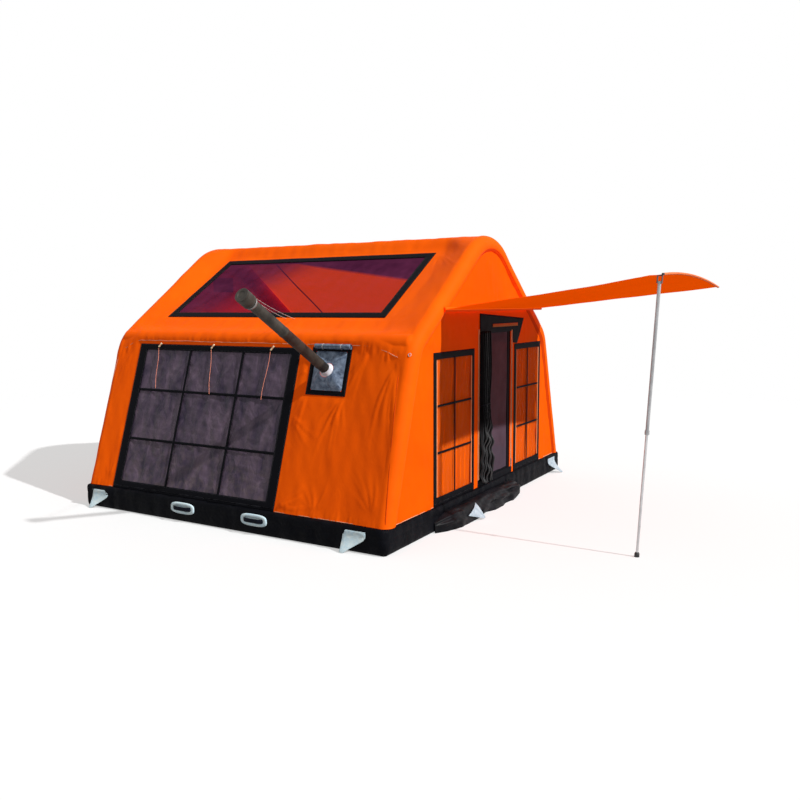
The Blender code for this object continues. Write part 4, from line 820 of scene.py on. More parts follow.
def canopy_crease(x, run, left):
    """How far wrinkles stand off the tensioned cloth, before the frames hold it flat."""
    signed = np.where(left, run, skin_run[-1] - run)
    crease = 0.0022 * (1 + ripple(x, run, 0.55, 31)) + 0.0012 * (1 + ripple(x, run * 0.5, 0.17, 32))
    tight = np.abs(ripple(x, run * 0.10, 0.062, 33)) * (0.8 + 0.5 * ripple(x, run, 0.5, 35))
    crease = crease + 0.0068 * np.exp(-((signed - eave_at + 0.005) / 0.050) ** 2) * tight
    crease = crease + 0.0035 * np.exp(-(signed / 0.06) ** 2) * np.abs(ripple(x, run * 0.15, 0.075, 34))
    seam_x = 1.608 - 0.067 * signed - 0.012
    seam = 0.0040 * np.exp(-((x - seam_x) / 0.008) ** 2) * smooth_share((eave_at - signed) / 0.05)
    return crease + np.where(left, folds(x, run, left_creases) + seam, 0.0)


def clear_of_tubes(x, yz, clear):
    """Points pushed out to clear from the eave tubes' middle, so that the tubes stay under the cloth."""
    for side in (-1.0, 1.0):
        off_tube = yz - np.array((side * eave_tube_out, eave_tube_tall))
        reach = np.maximum(np.linalg.norm(off_tube, axis=-1), 1e-6)
        limit = np.where(np.abs(x) < 1.585, clear - 0.9 * np.maximum(np.abs(x) - arch_middle_x, 0.0), 0.0)
        yz = np.where((reach < limit)[..., None], yz + off_tube * (limit / reach - 1.0)[..., None], yz)
    return yz


def on_canopy(x, run, lift):
    """Places over the canopy's left side between the arches, from x and how far up that side they are."""
    flat = skin_share(x)[:, None]
    sides = []
    for outline in (arch_outline, skin_outline):
        off = outline + outward_of(outline) * lift
        sides.append(np.stack([np.interp(run, skin_run, off[:, c]) for c in (0, 1)], axis=1))
    yz = clear_of_tubes(x, sides[0] * (1 - flat) + sides[1] * flat, eave_tube_radius + lift)
    return np.concatenate([x[:, None], yz], axis=1)


def along_arch(x, run, lift):
    """Places on the canopy where it wraps an arch, from x and how far up the left side they are."""
    turn = np.arcsin(np.clip((np.abs(x) - arch_middle_x) / arch_radius, -1.0, 1.0))
    rise = -0.080 + arch_radius * np.cos(turn) + lift
    off = outward_of(arch_outline)
    return np.stack([x, *(np.interp(run, skin_run, arch_outline[:, c]) + rise * np.interp(run, skin_run, off[:, c])
                          for c in (0, 1))], axis=1)


def make_canopy():
    stations = np.array(canopy_stations())
    x, angle = stations[:, :1], stations[:, 1:]
    wrapped = angle >= 0.0
    turn = np.radians(np.maximum(angle, 0.0))
    run = skin_run[None, :]
    left = np.arange(len(skin_run))[None, :] < len(skin_run) // 2
    flat = skin_share(x)[..., None]
    base = arch_outline[None] * (1 - flat) + skin_outline[None] * flat
    normal = outward_of(arch_outline)[None] * (1 - flat) + outward_of(skin_outline)[None] * flat
    hold = np.where(left, clear_of(x, run, (window_rect, skylight_rect, jack_rect), 0.05), 1.0)
    crease = np.maximum(canopy_crease(x, run, left), 0.0) * hold * np.where(angle > 75, 0.3, 1.0)
    lift = np.where(wrapped, -0.080 + arch_radius * np.cos(turn), 0.0008) + crease
    yz = base + normal * lift[..., None]
    out = np.where(wrapped, np.sign(x) * arch_radius * np.sin(turn), 0.0) * np.ones_like(lift) + x
    yz = clear_of_tubes(out, yz, eave_tube_radius)
    points = np.concatenate([out[..., None], yz[..., :1], np.maximum(yz[..., 1:], 0.2005)], axis=2).reshape(-1, 3)
    count = len(skin_run)
    middle_run = (skin_run[:-1] + skin_run[1:]) / 2
    faces = []
    for k in range(len(stations) - 1):
        middle_x = (stations[k, 0] + stations[k + 1, 0]) / 2
        open_cell = np.zeros(count - 1, bool)
        for low_x, high_x, low_run, high_run in openings_left:
            if low_x < middle_x < high_x:
                open_cell |= (middle_run > low_run) & (middle_run < high_run)
        faces += [(k * count + i, k * count + i + 1, (k + 1) * count + i + 1, (k + 1) * count + i)
                  for i in range(count - 1) if not open_cell[i]]
    finish_piece(mesh_object("canopy_sheet", points, faces, orange_cloth, 180), "tent", "orange_cloth",
                 "wall_skin_left", "wall_skin_right", "roof_skin_left", "roof_skin_right")


make_canopy()


# The gable ends: flat panels of the same cloth, sewn to the canopy along the arches. The front one
# has the doorway and two windows cut in it, and the rear one a small vent high up.
def inset_half_width(z):
    """Half the gable panel's width at height z, where the canopy meets it."""
    edge = arch_outline + outward_of(arch_outline) * -0.118
    half = edge[:len(edge) // 2 + 1]
    order = np.argsort(half[:, 1])
    return np.interp(z, half[order, 1], -half[order, 0], right=0.0)


def grid_lines(low, high, step, fixed=()):
    """Evenly spread lines from low to high that include every fixed one."""
    marks = sorted({low, high, *[f for f in fixed if low < f < high]})
    lines = [marks[0]]
    for a, b in zip(marks[:-1], marks[1:]):
        count = max(1, round((b - a) / step))
        lines.extend(a + (b - a) * (k + 1) / count for k in range(count))
    return np.array(lines)


def panel(name, us, vs, holes, surface, material, thickness=0.0, angle=70.0):
    """A sheet over the u and v lines, without the cells in a hole (low u, high u, low v, high v)."""
    u, v = np.meshgrid(us, vs, indexing="ij")
    points = np.stack(surface(u, v), axis=2)
    wide = np.linalg.norm(points[1:, :-1] - points[:-1, :-1], axis=2) > 1e-4
    middle_u, middle_v = (u[:-1, :-1] + u[1:, 1:]) / 2, (v[:-1, :-1] + v[1:, 1:]) / 2
    solid = wide & (np.linalg.norm(points[1:, 1:] - points[:-1, 1:], axis=2) > 1e-4)
    for low_u, high_u, low_v, high_v in holes:
        solid &= ~((middle_u > low_u) & (middle_u < high_u) & (middle_v > low_v) & (middle_v < high_v))
    tall = len(vs)
    faces = [(i * tall + j, (i + 1) * tall + j, (i + 1) * tall + j + 1, i * tall + j + 1)
             for i, j in zip(*np.nonzero(solid))]
    made = mesh_object(name, points.reshape(-1, 3), faces, material, angle)
    if thickness > 0.0:
        solidify = made.modifiers.new("thickness", "SOLIDIFY")
        solidify.thickness = thickness
        solidify.offset = -1.0
    return made


door_rect = (-0.245, 0.535, 0.200, 1.620)
header_rect = (-0.215, 0.811, 1.462, 1.760)
end_rects = ((-1.085, -0.325, 0.215, 1.458), (0.585, 1.280, 0.215, 1.458))
doorway = (-0.200, 0.490, 0.232, 1.605)
gable_holes = ((-1.060, -0.350, 0.245, 1.428), (0.610, 1.255, 0.245, 1.428))
gable_creases = (fan(0.0, 2.28, -130, -50, 12, 0.05, 0.42, 0.010, 0.0034, 63)
                 + fan(-1.12, 1.48, 60, 150, 9, 0.02, 0.28, 0.009, 0.0040, 64)
                 + fan(1.31, 1.48, 30, 120, 8, 0.02, 0.24, 0.009, 0.0040, 65)
                 + fan(-1.12, 0.24, 150, 230, 6, 0.02, 0.20, 0.009, 0.0040, 66)
                 + fan(1.33, 0.24, -60, 30, 6, 0.02, 0.20, 0.009, 0.0040, 67)
                 + fan(0.15, 1.78, 20, 160, 12, 0.02, 0.30, 0.009, 0.0034, 68))


def gable_surface(face_x, out, rects):
    def surface(y, z):
        half = inset_half_width(z) + 0.012
        flat = np.clip(y, -half, half)
        edge = np.clip((half - np.abs(flat)) / 0.10, 0.0, 1.0)
        wave = 0.0020 * (1 + ripple(y, z, 0.6, 61)) + 0.0010 * (1 + ripple(y, z * 0.7, 0.17, 62))
        crease = folds(y, z, gable_creases) * edge
        bulge = (wave + crease) * clear_of(y, z, rects, 0.05)
        return face_x + out * (0.0003 + bulge), flat, z * np.ones_like(flat)
    return surface


# The rear gable's cloth has only a faint painted glow on its inner face, a painted shade for the end that faces away
# from the key. The front gable's cloth is a redder copy with no painted glow on its outer face, which paints the
# awning's shade on it deeper.
shaded_cloth = woven_cloth("orange_shaded_cloth", orange_deep, orange_bright, glow=(0.060, 0.010, 0.012),
                           seep=orange_seep)
gable_cloth = woven_cloth("orange_gable_cloth", (0.86, 0.094, 0.0006), (0.97, 0.116, 0.0008), glow=orange_glow,
                          gloss=0.02)
fixed_y = [*doorway[:2], *gable_holes[0][:2], *gable_holes[1][:2]]
fixed_z = [*doorway[2:], *gable_holes[0][2:]]
gable_width, gable_height = (-1.72, 1.72), (0.2005, 2.33)
front_gable = panel("front_gable_panel", grid_lines(*gable_width, 0.015, fixed_y),
                    grid_lines(*gable_height, 0.015, fixed_z), [doorway, *gable_holes],
                    gable_surface(1.6148, 1.0, (door_rect, header_rect, *end_rects)), gable_cloth)
finish_piece(front_gable, "tent", "orange_cloth", "gable_skin_front")
vent = (-0.115, 0.225, 1.985, 2.145)
rear_gable = panel("rear_gable_panel", grid_lines(*gable_width, 0.02, vent[:2]),
                   grid_lines(*gable_height, 0.02, vent[2:]), [(-0.100, 0.200, 1.995, 2.135)],
                   gable_surface(-1.6148, -1.0, (vent,)), shaded_cloth)
finish_piece(rear_gable, "tent", "orange_cloth", "gable_skin_rear")


# Seams and piping: a thin pale cord is sewn into the long seams at the base and over the window,
# and a covered cord of the tent's own cloth into those where the canopy meets the gable panels.
piping_cloth = woven_cloth("pale_piping", (0.62, 0.25, 0.13), (0.85, 0.45, 0.28), crease_size=60.0, crease_depth=0.001)


def bead(name, route, radius, material, slot="orange_cloth", body="tent", *replaced, sides=8):
    """A finished piece: a thin round bead along a route of points, as a closed mesh."""
    route = np.array(route, float)
    ahead = np.gradient(route, axis=0)
    ahead /= np.linalg.norm(ahead, axis=1)[:, None]
    first = np.cross(ahead, np.array((0.31, 0.52, 0.79)))
    first /= np.linalg.norm(first, axis=1)[:, None]
    second = np.cross(ahead, first)
    angles = 2 * np.pi * np.arange(sides) / sides
    rings = (route[:, None] + radius * (first[:, None] * np.cos(angles)[None, :, None]
                                        + second[:, None] * np.sin(angles)[None, :, None]))
    made = mesh_object(name, rings.reshape(-1, 3), ring_faces(len(route), sides, False), material, 80)
    finish_piece(made, body, slot, *replaced)


for index, (side, low_x, high_x) in enumerate(((-1.0, -1.53, -1.325), (-1.0, 0.575, 1.53), (1.0, -1.53, 1.53))):
    route = np.array([(x, side * 1.8265, 0.2030) for x in np.linspace(low_x, high_x, 60)])
    bead(f"side_piping_{index + 1}", route, 0.0032, piping_cloth)
for index, (side, low_y, high_y) in enumerate(((1.0, -1.71, -1.095), (1.0, 1.29, 1.71), (-1.0, -1.71, 1.71))):
    route = np.array([(side * 1.6175, y, 0.2032) for y in np.linspace(low_y, high_y, 60)])
    bead(f"end_piping_{index + 1}", route, 0.0032, piping_cloth)
for index, side in enumerate((-1.0, 1.0)):
    edge = (arch_outline + outward_of(arch_outline) * -0.119)[3:-3]
    route = np.concatenate([np.full((len(edge), 1), side * 1.6195), edge], axis=1)
    bead(f"gable_piping_{index + 1}", route, 0.0036, orange_cloth)
long_run = np.linspace(-1.50, 1.50, 200)
route = on_canopy(long_run, eave_at + 0.022 + 0.002 * ripple(long_run, 0.0, 0.2, 72), 0.0045)
bead("eave_piping", route, 0.0026, piping_cloth)
seam_run = np.linspace(slope_run(0.24), slope_run(1.49), 70)
bead("corner_seam", along_arch(1.608 - 0.067 * seam_run, seam_run, 0.0035), 0.0034, sleeve_cloth)
seam_run = np.linspace(slope_run(1.19), slope_run(1.50), 24)
bead("rear_corner_seam", along_arch(-1.60 + 0.12 * (seam_run - seam_run[0]), seam_run, 0.0030), 0.0026, piping_cloth)
loop_turn = np.linspace(0.0, 2 * np.pi, 25)
loop_middle = along_arch(np.array([1.600]), np.array([slope_run(1.555)]), 0.010)[0]
loop = loop_middle + 0.012 * (np.cos(loop_turn)[:, None] * np.array(east)
                              + np.sin(loop_turn)[:, None] * np.array(wall_up))
bead("corner_loop", loop, 0.0024, white_braid, "cord_weave")


stitch_faces = ((0, 1, 2), (0, 2, 3), (0, 3, 1), (1, 4, 5, 2), (2, 5, 6, 3), (3, 6, 4, 1), (4, 7, 5), (5, 7, 6),
                (6, 7, 4))


def stitch_row(name, points, normal, thread, body="tent"):
    """A finished piece: a row of thread stitches along a route, flat beads with a gap between them."""
    length, gap, radius = 0.007, 0.0045, 0.0007
    points = np.array(points, float)
    steps = np.concatenate([[0.0], np.cumsum(np.linalg.norm(np.diff(points, axis=0), axis=1))])
    starts = np.arange(gap, steps[-1] - length, length + gap)
    out = np.array(normal, float) / np.linalg.norm(normal)
    verts, faces = [], []
    for start in starts:
        a, b = (np.array([np.interp(at, steps, points[:, c]) for c in range(3)]) for at in (start, start + length))
        side = np.cross((b - a) / length, out) * radius
        top = out * radius * 1.1
        faces += [tuple(len(verts) + corner for corner in face) for face in stitch_faces]
        near, far = a + (b - a) * 0.2, b - (b - a) * 0.2
        verts += [a, near + side, near + top, near - side, far + side, far + top, far - side, b]
    finish_piece(mesh_object(name, verts, faces, thread, 60), body)


def thread_material(name, colour):
    made, tree, shader = shader_material(name, 0.7)
    fuzz = noise(tree, object_place(tree), Scale=500.0, Detail=2.0)
    dark = tuple(c * 0.6 for c in colour)
    feed_all(tree, shader, Base_Color=ramp(tree, fuzz, (0.3, dark), (0.7, colour)))
    return made


dark_thread = thread_material("dark_thread", (0.06, 0.06, 0.07))
orange_thread = thread_material("orange_thread", (0.55, 0.05, 0.004))


# The big window: a wide black webbing border sewn to the wall, tinted film inside it, and thin
# black tapes that divide the film in nine. The film sags and wrinkles between its tapes.
def wall_place(x, v, w):
    """Points over the left wall: x along it, v up its slope from the ring's top, w off the skin."""
    x, v, w = np.broadcast_arrays(x, v, w)
    return (x * 1.0, wall_foot.y + wall_up.y * v + wall_out.y * w, wall_foot.z + wall_up.z * v + wall_out.z * w)


def roof_place(x, d, w):
    """Points over the left roof: x along it, d down its slope from the peak, w off the skin."""
    x, d, w = np.broadcast_arrays(x, d, w)
    slope, tall = math.cos(roof_slope), math.sin(roof_slope)
    return (x * 1.0, -slope * d - tall * w, roof_peak - tall * d + slope * w)


def end_place(face_x, out):
    """A function for points over a gable: y across it, z up it, w off its face."""
    def place(y, z, w):
        y, z, w = np.broadcast_arrays(y, z, w)
        return face_x + out * w, y * 1.0, z * 1.0
    return place


gable_place, rear_place, inner_place = end_place(1.615, 1.0), end_place(-1.615, -1.0), end_place(1.6107, 1.0)
webbing = woven_cloth("black_webbing", (0.0010, 0.0011, 0.0022), (0.0040, 0.0042, 0.0064), 0.66, 900.0, 22.0, 0.0010)


def tinted_film(name, dark, light, clear, roughness=0.16, stretch=(1.0, 1.0, 1.0), size=6.0, depth=0.010,
                thins=None, gloss=0.30, dust_top=0.001):
    """Smoked flexible film: faint sheen, fine wrinkles and a little see-through. thins is (from x, to x, how
    clear), a painted shade: the film stays darker and less see-through to the rear and in a band under the ridge, and
    clears along X."""
    made, tree, shader = shader_material(name, gloss=gloss)
    creases = use_group(tree, crinkle, Size=size, Stretch=stretch)
    shade = creases["Shade"]
    alpha = spread(tree, shade, clear - 0.05, min(clear + 0.06, 1.0))
    if thins:
        place = object_place(tree)
        along = new_node(tree, "VectorMath", place, (1.0, -0.9, 0.0), operation="DOT_PRODUCT").outputs["Value"]
        height = new_node(tree, "VectorMath", place, (0.13, 0.0, 1.0), operation="DOT_PRODUCT").outputs["Value"]
        fade = spread(tree, along, 1.0, thins[2], thins[0], thins[1], interpolation_type="SMOOTHSTEP")
        ridge_shade = spread(tree, height, 0.0, 1.25, 2.165, 2.215)
        alpha = reckon(tree, "MULTIPLY", alpha, reckon(tree, "MAXIMUM", fade, ridge_shade), use_clamp=True)
    colour = ramp(tree, shade, (0.32, dark), (0.70, light))
    feed_all(tree, shader, Base_Color=dusted(tree, colour, dust_top, 0.55, (0.20, 0.15, 0.11)),
             Roughness=spread(tree, shade, roughness, roughness + 0.30), Alpha=alpha,
             Normal=bump(tree, creases["Height"], 0.55, depth))
    return made


smoke_film = tinted_film("smoke_film", (0.022, 0.014, 0.036), (0.140, 0.098, 0.140), 1.07, 0.24, (1.0, 1.0, 0.35), 9.0,
                         gloss=0.18, dust_top=1.0)


def lines_with_bars(low, high, width, shares, bar):
    """Grid lines of a border with bars, and the panes between them as (low, high)."""
    inner_low, inner_high = low + width, high - width
    marks = [inner_low]
    for share in shares:
        middle = inner_low + (inner_high - inner_low) * share
        marks.extend((middle - bar / 2, middle + bar / 2))
    marks.append(inner_high)
    return grid_lines(low, high, 0.02, marks), [(marks[k], marks[k + 1]) for k in range(0, len(marks), 2)]


def border_piece(name, place, rect, widths, seed, *replaced, bar=0.0, shares=((), ()), lift=0.0042, thickness=0.0030,
                 body="tent"):
    """A webbing border round rect, with bars at shares of its width and height."""
    us, panes_u = lines_with_bars(*rect[:2], widths[0], shares[0], bar)
    vs, panes_v = lines_with_bars(*rect[2:], widths[1], shares[1], bar)

    def surface(u, v):
        return place(u, v, lift + 0.0010 * (1 + ripple(u, v, 0.35, seed)) / 2)

    piece = panel(name, us, vs, [(*u, *v) for u in panes_u for v in panes_v], surface, webbing, thickness, 50.0)
    finish_piece(piece, body, "black_pvc", *replaced)


window_low_v, window_high_v = 0.015 / wall_up.z, 1.29 / wall_up.z
border_piece("big_window_border", wall_place, (*window_rect[:2], window_low_v, window_high_v), (0.095, 0.055), 81,
             "big_window_frame", bar=0.022, shares=((0.328, 0.694), (0.319, 0.692)))


def film_surface(place, rect, sag, seed, stretch=0.45):
    low_u, high_u, low_v, high_v = rect

    def surface(u, v):
        rim = np.minimum(np.minimum(u - low_u, high_u - u), np.minimum(v - low_v, high_v - v)) / 0.12
        rim = smooth_share(rim)
        wave = sag * (ripple(u, v * stretch, 0.21, seed) + 0.5 * ripple(u, v, 0.085, seed + 1)) / 1.5
        return place(u, v, -0.0012 - (sag + wave) * rim)
    return surface


def film_piece(name, node, place, rect, steps, sag, seed, film, stretch=0.45):
    """A window's film over rect, with steps between its grid lines across and up."""
    us, vs = grid_lines(*rect[:2], steps[0]), grid_lines(*rect[2:], steps[1])
    sheet = panel(name, us, vs, (), film_surface(place, rect, sag, seed, stretch), film, 0.0, 180.0)
    finish_piece(sheet, "tent", "window_film", node)


film_piece("big_window_sheet", "big_window_film", wall_place,
           (-1.250, 0.498, window_low_v + 0.024, window_high_v - 0.024), (0.014, 0.014), 0.006, 83, smoke_film)


def rectangle_route(place, low_u, high_u, low_v, high_v, lift):
    """The four sides of a rectangle, as routes of points."""
    us, vs = grid_lines(low_u, high_u, 0.03), grid_lines(low_v, high_v, 0.03)
    sides = [(us, low_v + 0 * us), (high_u + 0 * vs, vs), (us[::-1], high_v + 0 * us), (low_u + 0 * vs, vs[::-1])]
    return [np.stack(place(u, v, lift + 0 * u), axis=1) for u, v in sides]


def stitched_border(name, place, low_u, high_u, low_v, high_v, normal):
    for index, route in enumerate(rectangle_route(place, low_u, high_u, low_v, high_v, 0.0052)):
        stitch_row(f"{name}_stitches_{index + 1}", route, normal, dark_thread)


stitched_border("window_outer", wall_place, -1.304, 0.552, window_low_v + 0.008, window_high_v - 0.008, wall_out)
stitched_border("window_inner", wall_place, -1.224, 0.472, window_low_v + 0.048, window_high_v - 0.048, wall_out)


# Three cream plastic toggles are tied over the window's top border, with a loop of cord each,
# to hold up its cover. Each is a turned stick with rounded ends and a waist where the cord sits.
cream_nylon = moulded_plastic("cream_nylon", (0.70, 0.50, 0.30), 0.42, 700.0)


def ring_points(start, run, first, profile, sides):
    """Rings of points about an axis; profile is (share of run, radius) pairs."""
    second = run.normalized().cross(first)
    turns = [2 * math.pi * i / sides for i in range(sides)]
    return [start + run * along + (first * math.cos(turn) + second * math.sin(turn)) * radius
            for along, radius in profile for turn in turns]


toggle_tilt = math.radians(38)
toggle_lean = Vector((math.sin(toggle_tilt), 0.0, 0.0)) + wall_up * math.cos(toggle_tilt)
toggle_profile = ((0.0, 0.004), (0.02, 0.0062), (0.07, 0.0078), (0.20, 0.0080), (0.38, 0.0072), (0.46, 0.0058),
                  (0.54, 0.0058), (0.62, 0.0072), (0.80, 0.0080), (0.93, 0.0078), (0.98, 0.0062), (1.0, 0.004))
for index, toggle_x in enumerate(toggle_places):
    centre = wall_foot + east * toggle_x + wall_up * (1.29 / wall_up.z - 0.012) + wall_out * 0.0130
    stick = toggle_lean * 0.05
    points = ring_points(centre - stick / 2, stick, stick.orthogonal().normalized(), toggle_profile, 24)
    faces = ring_faces(len(toggle_profile), 24, False)
    finish_piece(mesh_object(f"toggle_stick_{index + 1}", points, faces, cream_nylon, 45), "tent", "cream_plastic",
                 f"window_toggle_{index + 1}")
    angles = np.linspace(0.0, 2 * np.pi, 25)
    side_axis, out_axis = np.array(toggle_lean.cross(wall_out).normalized()), np.array(wall_out)
    loop = np.array(centre) + 0.0076 * (np.cos(angles)[:, None] * side_axis + np.sin(angles)[:, None] * out_axis)
    bead(f"toggle_loop_{index + 1}", loop, 0.0013, pink_braid, "cord_weave")


# The skylight: a thinner black border on the left roof over a sheet of the same film, clear
# enough to show the far roof's inside. Both follow the roof plane a little below the arches.
# The skylight film carries a painted shade. It is darker and less see-through towards the rear and in a band under the
# ridge, standing in for the shade inside the tent behind it.
sky_film = tinted_film("sky_film", (0.060, 0.010, 0.036), (0.110, 0.020, 0.058), 0.90, 0.14, (0.6, 1.0, 1.0), 3.0,
                       0.004, (-0.35, 0.45, 0.46), 0.0)
border_piece("skylight_border", roof_place, (-1.300, 1.166, 0.215, 1.280), (0.075, 0.075), 86, "skylight_frame")
film_piece("skylight_sheet", "skylight_film", roof_place, (-1.235, 1.101, 0.280, 1.215), (0.02, 0.02), 0.006, 87,
           sky_film, 1.0)
inner_seam = [(-0.99 + 0.004 * math.sin(9 * y), y, roof_peak - math.tan(roof_slope) * y - 0.012)
              for y in np.linspace(0.16, 1.18, 40)]
bead("far_roof_inner_seam", inner_seam, 0.0065, dark_thread, None)
stitched_border("skylight_outer", roof_place, -1.292, 1.158, 0.223, 1.272, roof_out)
stitched_border("skylight_inner", roof_place, -1.232, 1.098, 0.283, 1.212, roof_out)


# The rear vent: a little window of film high on the rear gable, in a narrow black border.
film_piece("rear_vent_sheet", "rear_vent_window", rear_place, (-0.106, 0.209, 1.986, 2.144), (0.015, 0.015), 0.003, 88,
           smoke_film)
border_piece("rear_vent_border", rear_place, (-0.125, 0.235, 1.972, 2.158), (0.03, 0.03), 89, bar=0.008,
             shares=((0.5,), ()))


# The end windows beside the door: black borders with a cross of thin tapes, nearly clear film, and
# orange curtains that hang in folds behind it. Pale peach beads down each film's upright edges are a painted reflection
# of the film there.
edge_reflection_cloth = woven_cloth("peach_edge_reflection", (0.85, 0.30, 0.12), (0.96, 0.42, 0.20), crease_size=60.0, crease_depth=0.001)
end_film = tinted_film("end_film", (0.060, 0.040, 0.020), (0.120, 0.075, 0.030), 0.16, 0.18, (1.0, 1.0, 0.4), 8.0,
                       0.006, gloss=0.03)
curtain_low, curtain_high, curtain_folds = 0.242, 1.432, 9
curtain_cloth = woven_cloth("curtain_cloth", orange_deep, orange_bright, 0.7, 600.0, 14.0, 0.003, gloss=0.02)
for label, (low_y, high_y, low_z, high_z) in zip(("left", "right"), end_rects):
    border_piece(f"end_border_{label}", gable_place, (low_y, high_y, low_z, high_z), (0.05, 0.055), 90,
                 f"end_window_frame_{label}", bar=0.018, shares=((0.5,), (0.325, 0.665)))
    stitched_border(f"end_{label}_outer", gable_place, low_y + 0.008, high_y - 0.008, 0.223, 1.450, east)
    film_piece(f"end_film_{label}", f"end_window_film_{label}", gable_place,
               (low_y + 0.021, high_y - 0.021, 0.241, 1.432), (0.015, 0.02), 0.003, 92, end_film)
    # Peach beads down the film's upright edges: a painted reflection.
    edge_reflections = rectangle_route(gable_place, low_y + 0.056, high_y - 0.056, 0.276, 1.397, 0.0018)[1::2]
    for index, route in enumerate(edge_reflections):
        bead(f"end_edge_reflection_{label}_{index + 1}", route, 0.0055, edge_reflection_cloth)

    def curtain_surface(y, z):
        share = (z - curtain_low) / (curtain_high - curtain_low)
        middle, drawn = (low_y + high_y) / 2, np.exp(-((share - 0.36) / 0.26) ** 2)
        lean = -0.16 * np.maximum(share - 0.3, 0.0) if label == "left" else 0.45 * (y - middle) * drawn
        place = (y + lean - low_y - 0.008) / (high_y - low_y - 0.016)
        fold = 0.5 - 0.5 * np.cos(2 * np.pi * curtain_folds * place + 0.7 * ripple(y * 0.4, z, 0.7, 93))
        depth = 0.021 * (1.0 - 0.55 * share) * (0.75 + 0.25 * ripple(y, z * 0.4, 0.3, 94))
        return 1.6100 - np.maximum(depth, 0.003) * fold, y * 1.0, z * 1.0

    curtain = panel(f"curtain_{label}", grid_lines(low_y + 0.009, high_y - 0.009, 0.0045),
                    grid_lines(curtain_low, curtain_high, 0.03), (), curtain_surface, curtain_cloth, 0.0012, 180.0)
    finish_piece(curtain, "tent", "orange_cloth", f"end_window_curtain_{label}")


# The stove jack: a black border sewn to the wall round a square of silver heat-proof cloth, which
# is drawn out in facets to a short sleeve round the pipe. Its cover is rolled up and tied above.
heat_cloth = coated_skin("heat_proof_cloth", (0.045, 0.070, 0.120), (0.25, 0.32, 0.43), 0.42, 24.0, 0.003, 0.001)
sleeve_lining = coated_skin("sleeve_lining", (0.55, 0.56, 0.62), (0.85, 0.86, 0.90), 0.5, 30.0, 0.002, 0.001)
jack_low_v, jack_high_v = 0.9225 / wall_up.z, 1.3075 / wall_up.z
border_piece("jack_border_tape", wall_place, (*jack_rect[:2], jack_low_v, jack_high_v), (0.04, 0.04), 95, "jack_border")
stitched_border("jack_outer", wall_place, 0.687, 1.059, jack_low_v + 0.0065, jack_high_v - 0.0065, wall_out)


def square_point(angle, half_u, half_v):
    """A point of a rectangle's edge in the direction of angle."""
    c, s = math.cos(angle), math.sin(angle)
    scale = 1.0 / max(abs(c) / half_u, abs(s) / half_v)
    return c * scale, s * scale


def make_jack():
    """The square of cloth in rings from its border to the pipe, and the short sleeve; both have open ends."""
    sides, centre_v = 96, (jack_low_v + jack_high_v) / 2
    half_u, half_v, hole = 0.1522, (jack_high_v - jack_low_v) / 2 - 0.0403, 0.0418
    turns = [2 * math.pi * k / sides - math.radians(135) for k in range(sides)]
    spokes = [east * math.cos(turn) + pipe_up * math.sin(turn) for turn in turns]
    cloth = []
    for share in (0.0, 0.10, 0.28, 0.50, 0.72, 0.90, 1.0):
        for angle, spoke in zip(turns, spokes):
            u, v = square_point(angle, half_u, half_v)
            outer = Vector(float(c) for c in wall_place(0.873 + u, centre_v + v, 0.003))
            inner = pipe_start + spoke * (hole + 0.020)
            facet = 0.010 * math.sin(math.pi * share) * (math.cos(4 * (angle + math.radians(45))) * 0.8 + 0.4)
            buckle = 0.003 * math.sin(math.pi * share) * math.sin(11 * angle + 3 * share)
            cloth.append(outer.lerp(inner, share) + wall_out * (facet + buckle))
    sleeve = [pipe_start + pipe_run * depth + spoke * (hole + gap)
              for depth, gap in ((0.0, 0.018), (0.012, 0.008), (0.035, 0.004), (0.035, 0.0002), (0.0, 0.0002))
              for spoke in spokes]
    band, sleeve_band = (ring_faces(rings, sides, False)[:-2] for rings in (7, 5))
    finish_piece(mesh_object("jack_cloth", cloth, band, heat_cloth, 28), "tent", "silver_pvc", "jack_panel")
    finish_piece(mesh_object("jack_sleeve", sleeve, sleeve_band, sleeve_lining, 50), "tent", "silver_pvc")


make_jack()


def make_cover_roll():
    """The jack's cover, rolled up: a spiral of cloth with a slack outer turn and two cord ties."""
    rows, turns, per_turn = 40, 3.2, 22
    count = int(turns * per_turn)
    centre_v, stand, ties = jack_high_v - 0.0072, 0.0290, (0.80, 0.98)
    points = []
    for k in range(rows + 1):
        x = 0.7225 + 0.342 * k / rows
        pinch = 1.0 - 0.13 * math.exp(-((x - ties[0]) / 0.012) ** 2) - 0.13 * math.exp(-((x - ties[1]) / 0.012) ** 2)
        for i in range(count + 1):
            angle = 2 * math.pi * i / per_turn + 0.6
            radius = (0.0075 + 0.0162 * i / count) * pinch + 0.0006 * math.sin(5 * angle + 30 * x)
            u, w = radius * math.cos(angle), radius * math.sin(angle)
            points.append(tuple(float(c) for c in wall_place(x, centre_v + u, stand + w)))
    faces = [(at, at + 1, at + count + 2, at + count + 1)
             for k in range(rows) for at in range(k * (count + 1), k * (count + 1) + count)]
    made = mesh_object("rolled_cover", points, faces, heat_cloth, 180)
    solidify = made.modifiers.new("thickness", "SOLIDIFY")
    solidify.thickness = 0.0009
    finish_piece(made, "tent", "silver_pvc", "jack_cover_roll")
    for index, x in enumerate(ties):
        angles = np.linspace(0.0, 2 * np.pi, 29)
        ring = np.stack(wall_place(x, centre_v + 0.0222 * np.cos(angles), stand + 0.0222 * np.sin(angles)), axis=1)
        bead(f"cover_tie_{index + 1}", ring, 0.0016, white_braid, "cord_weave")


make_cover_roll()


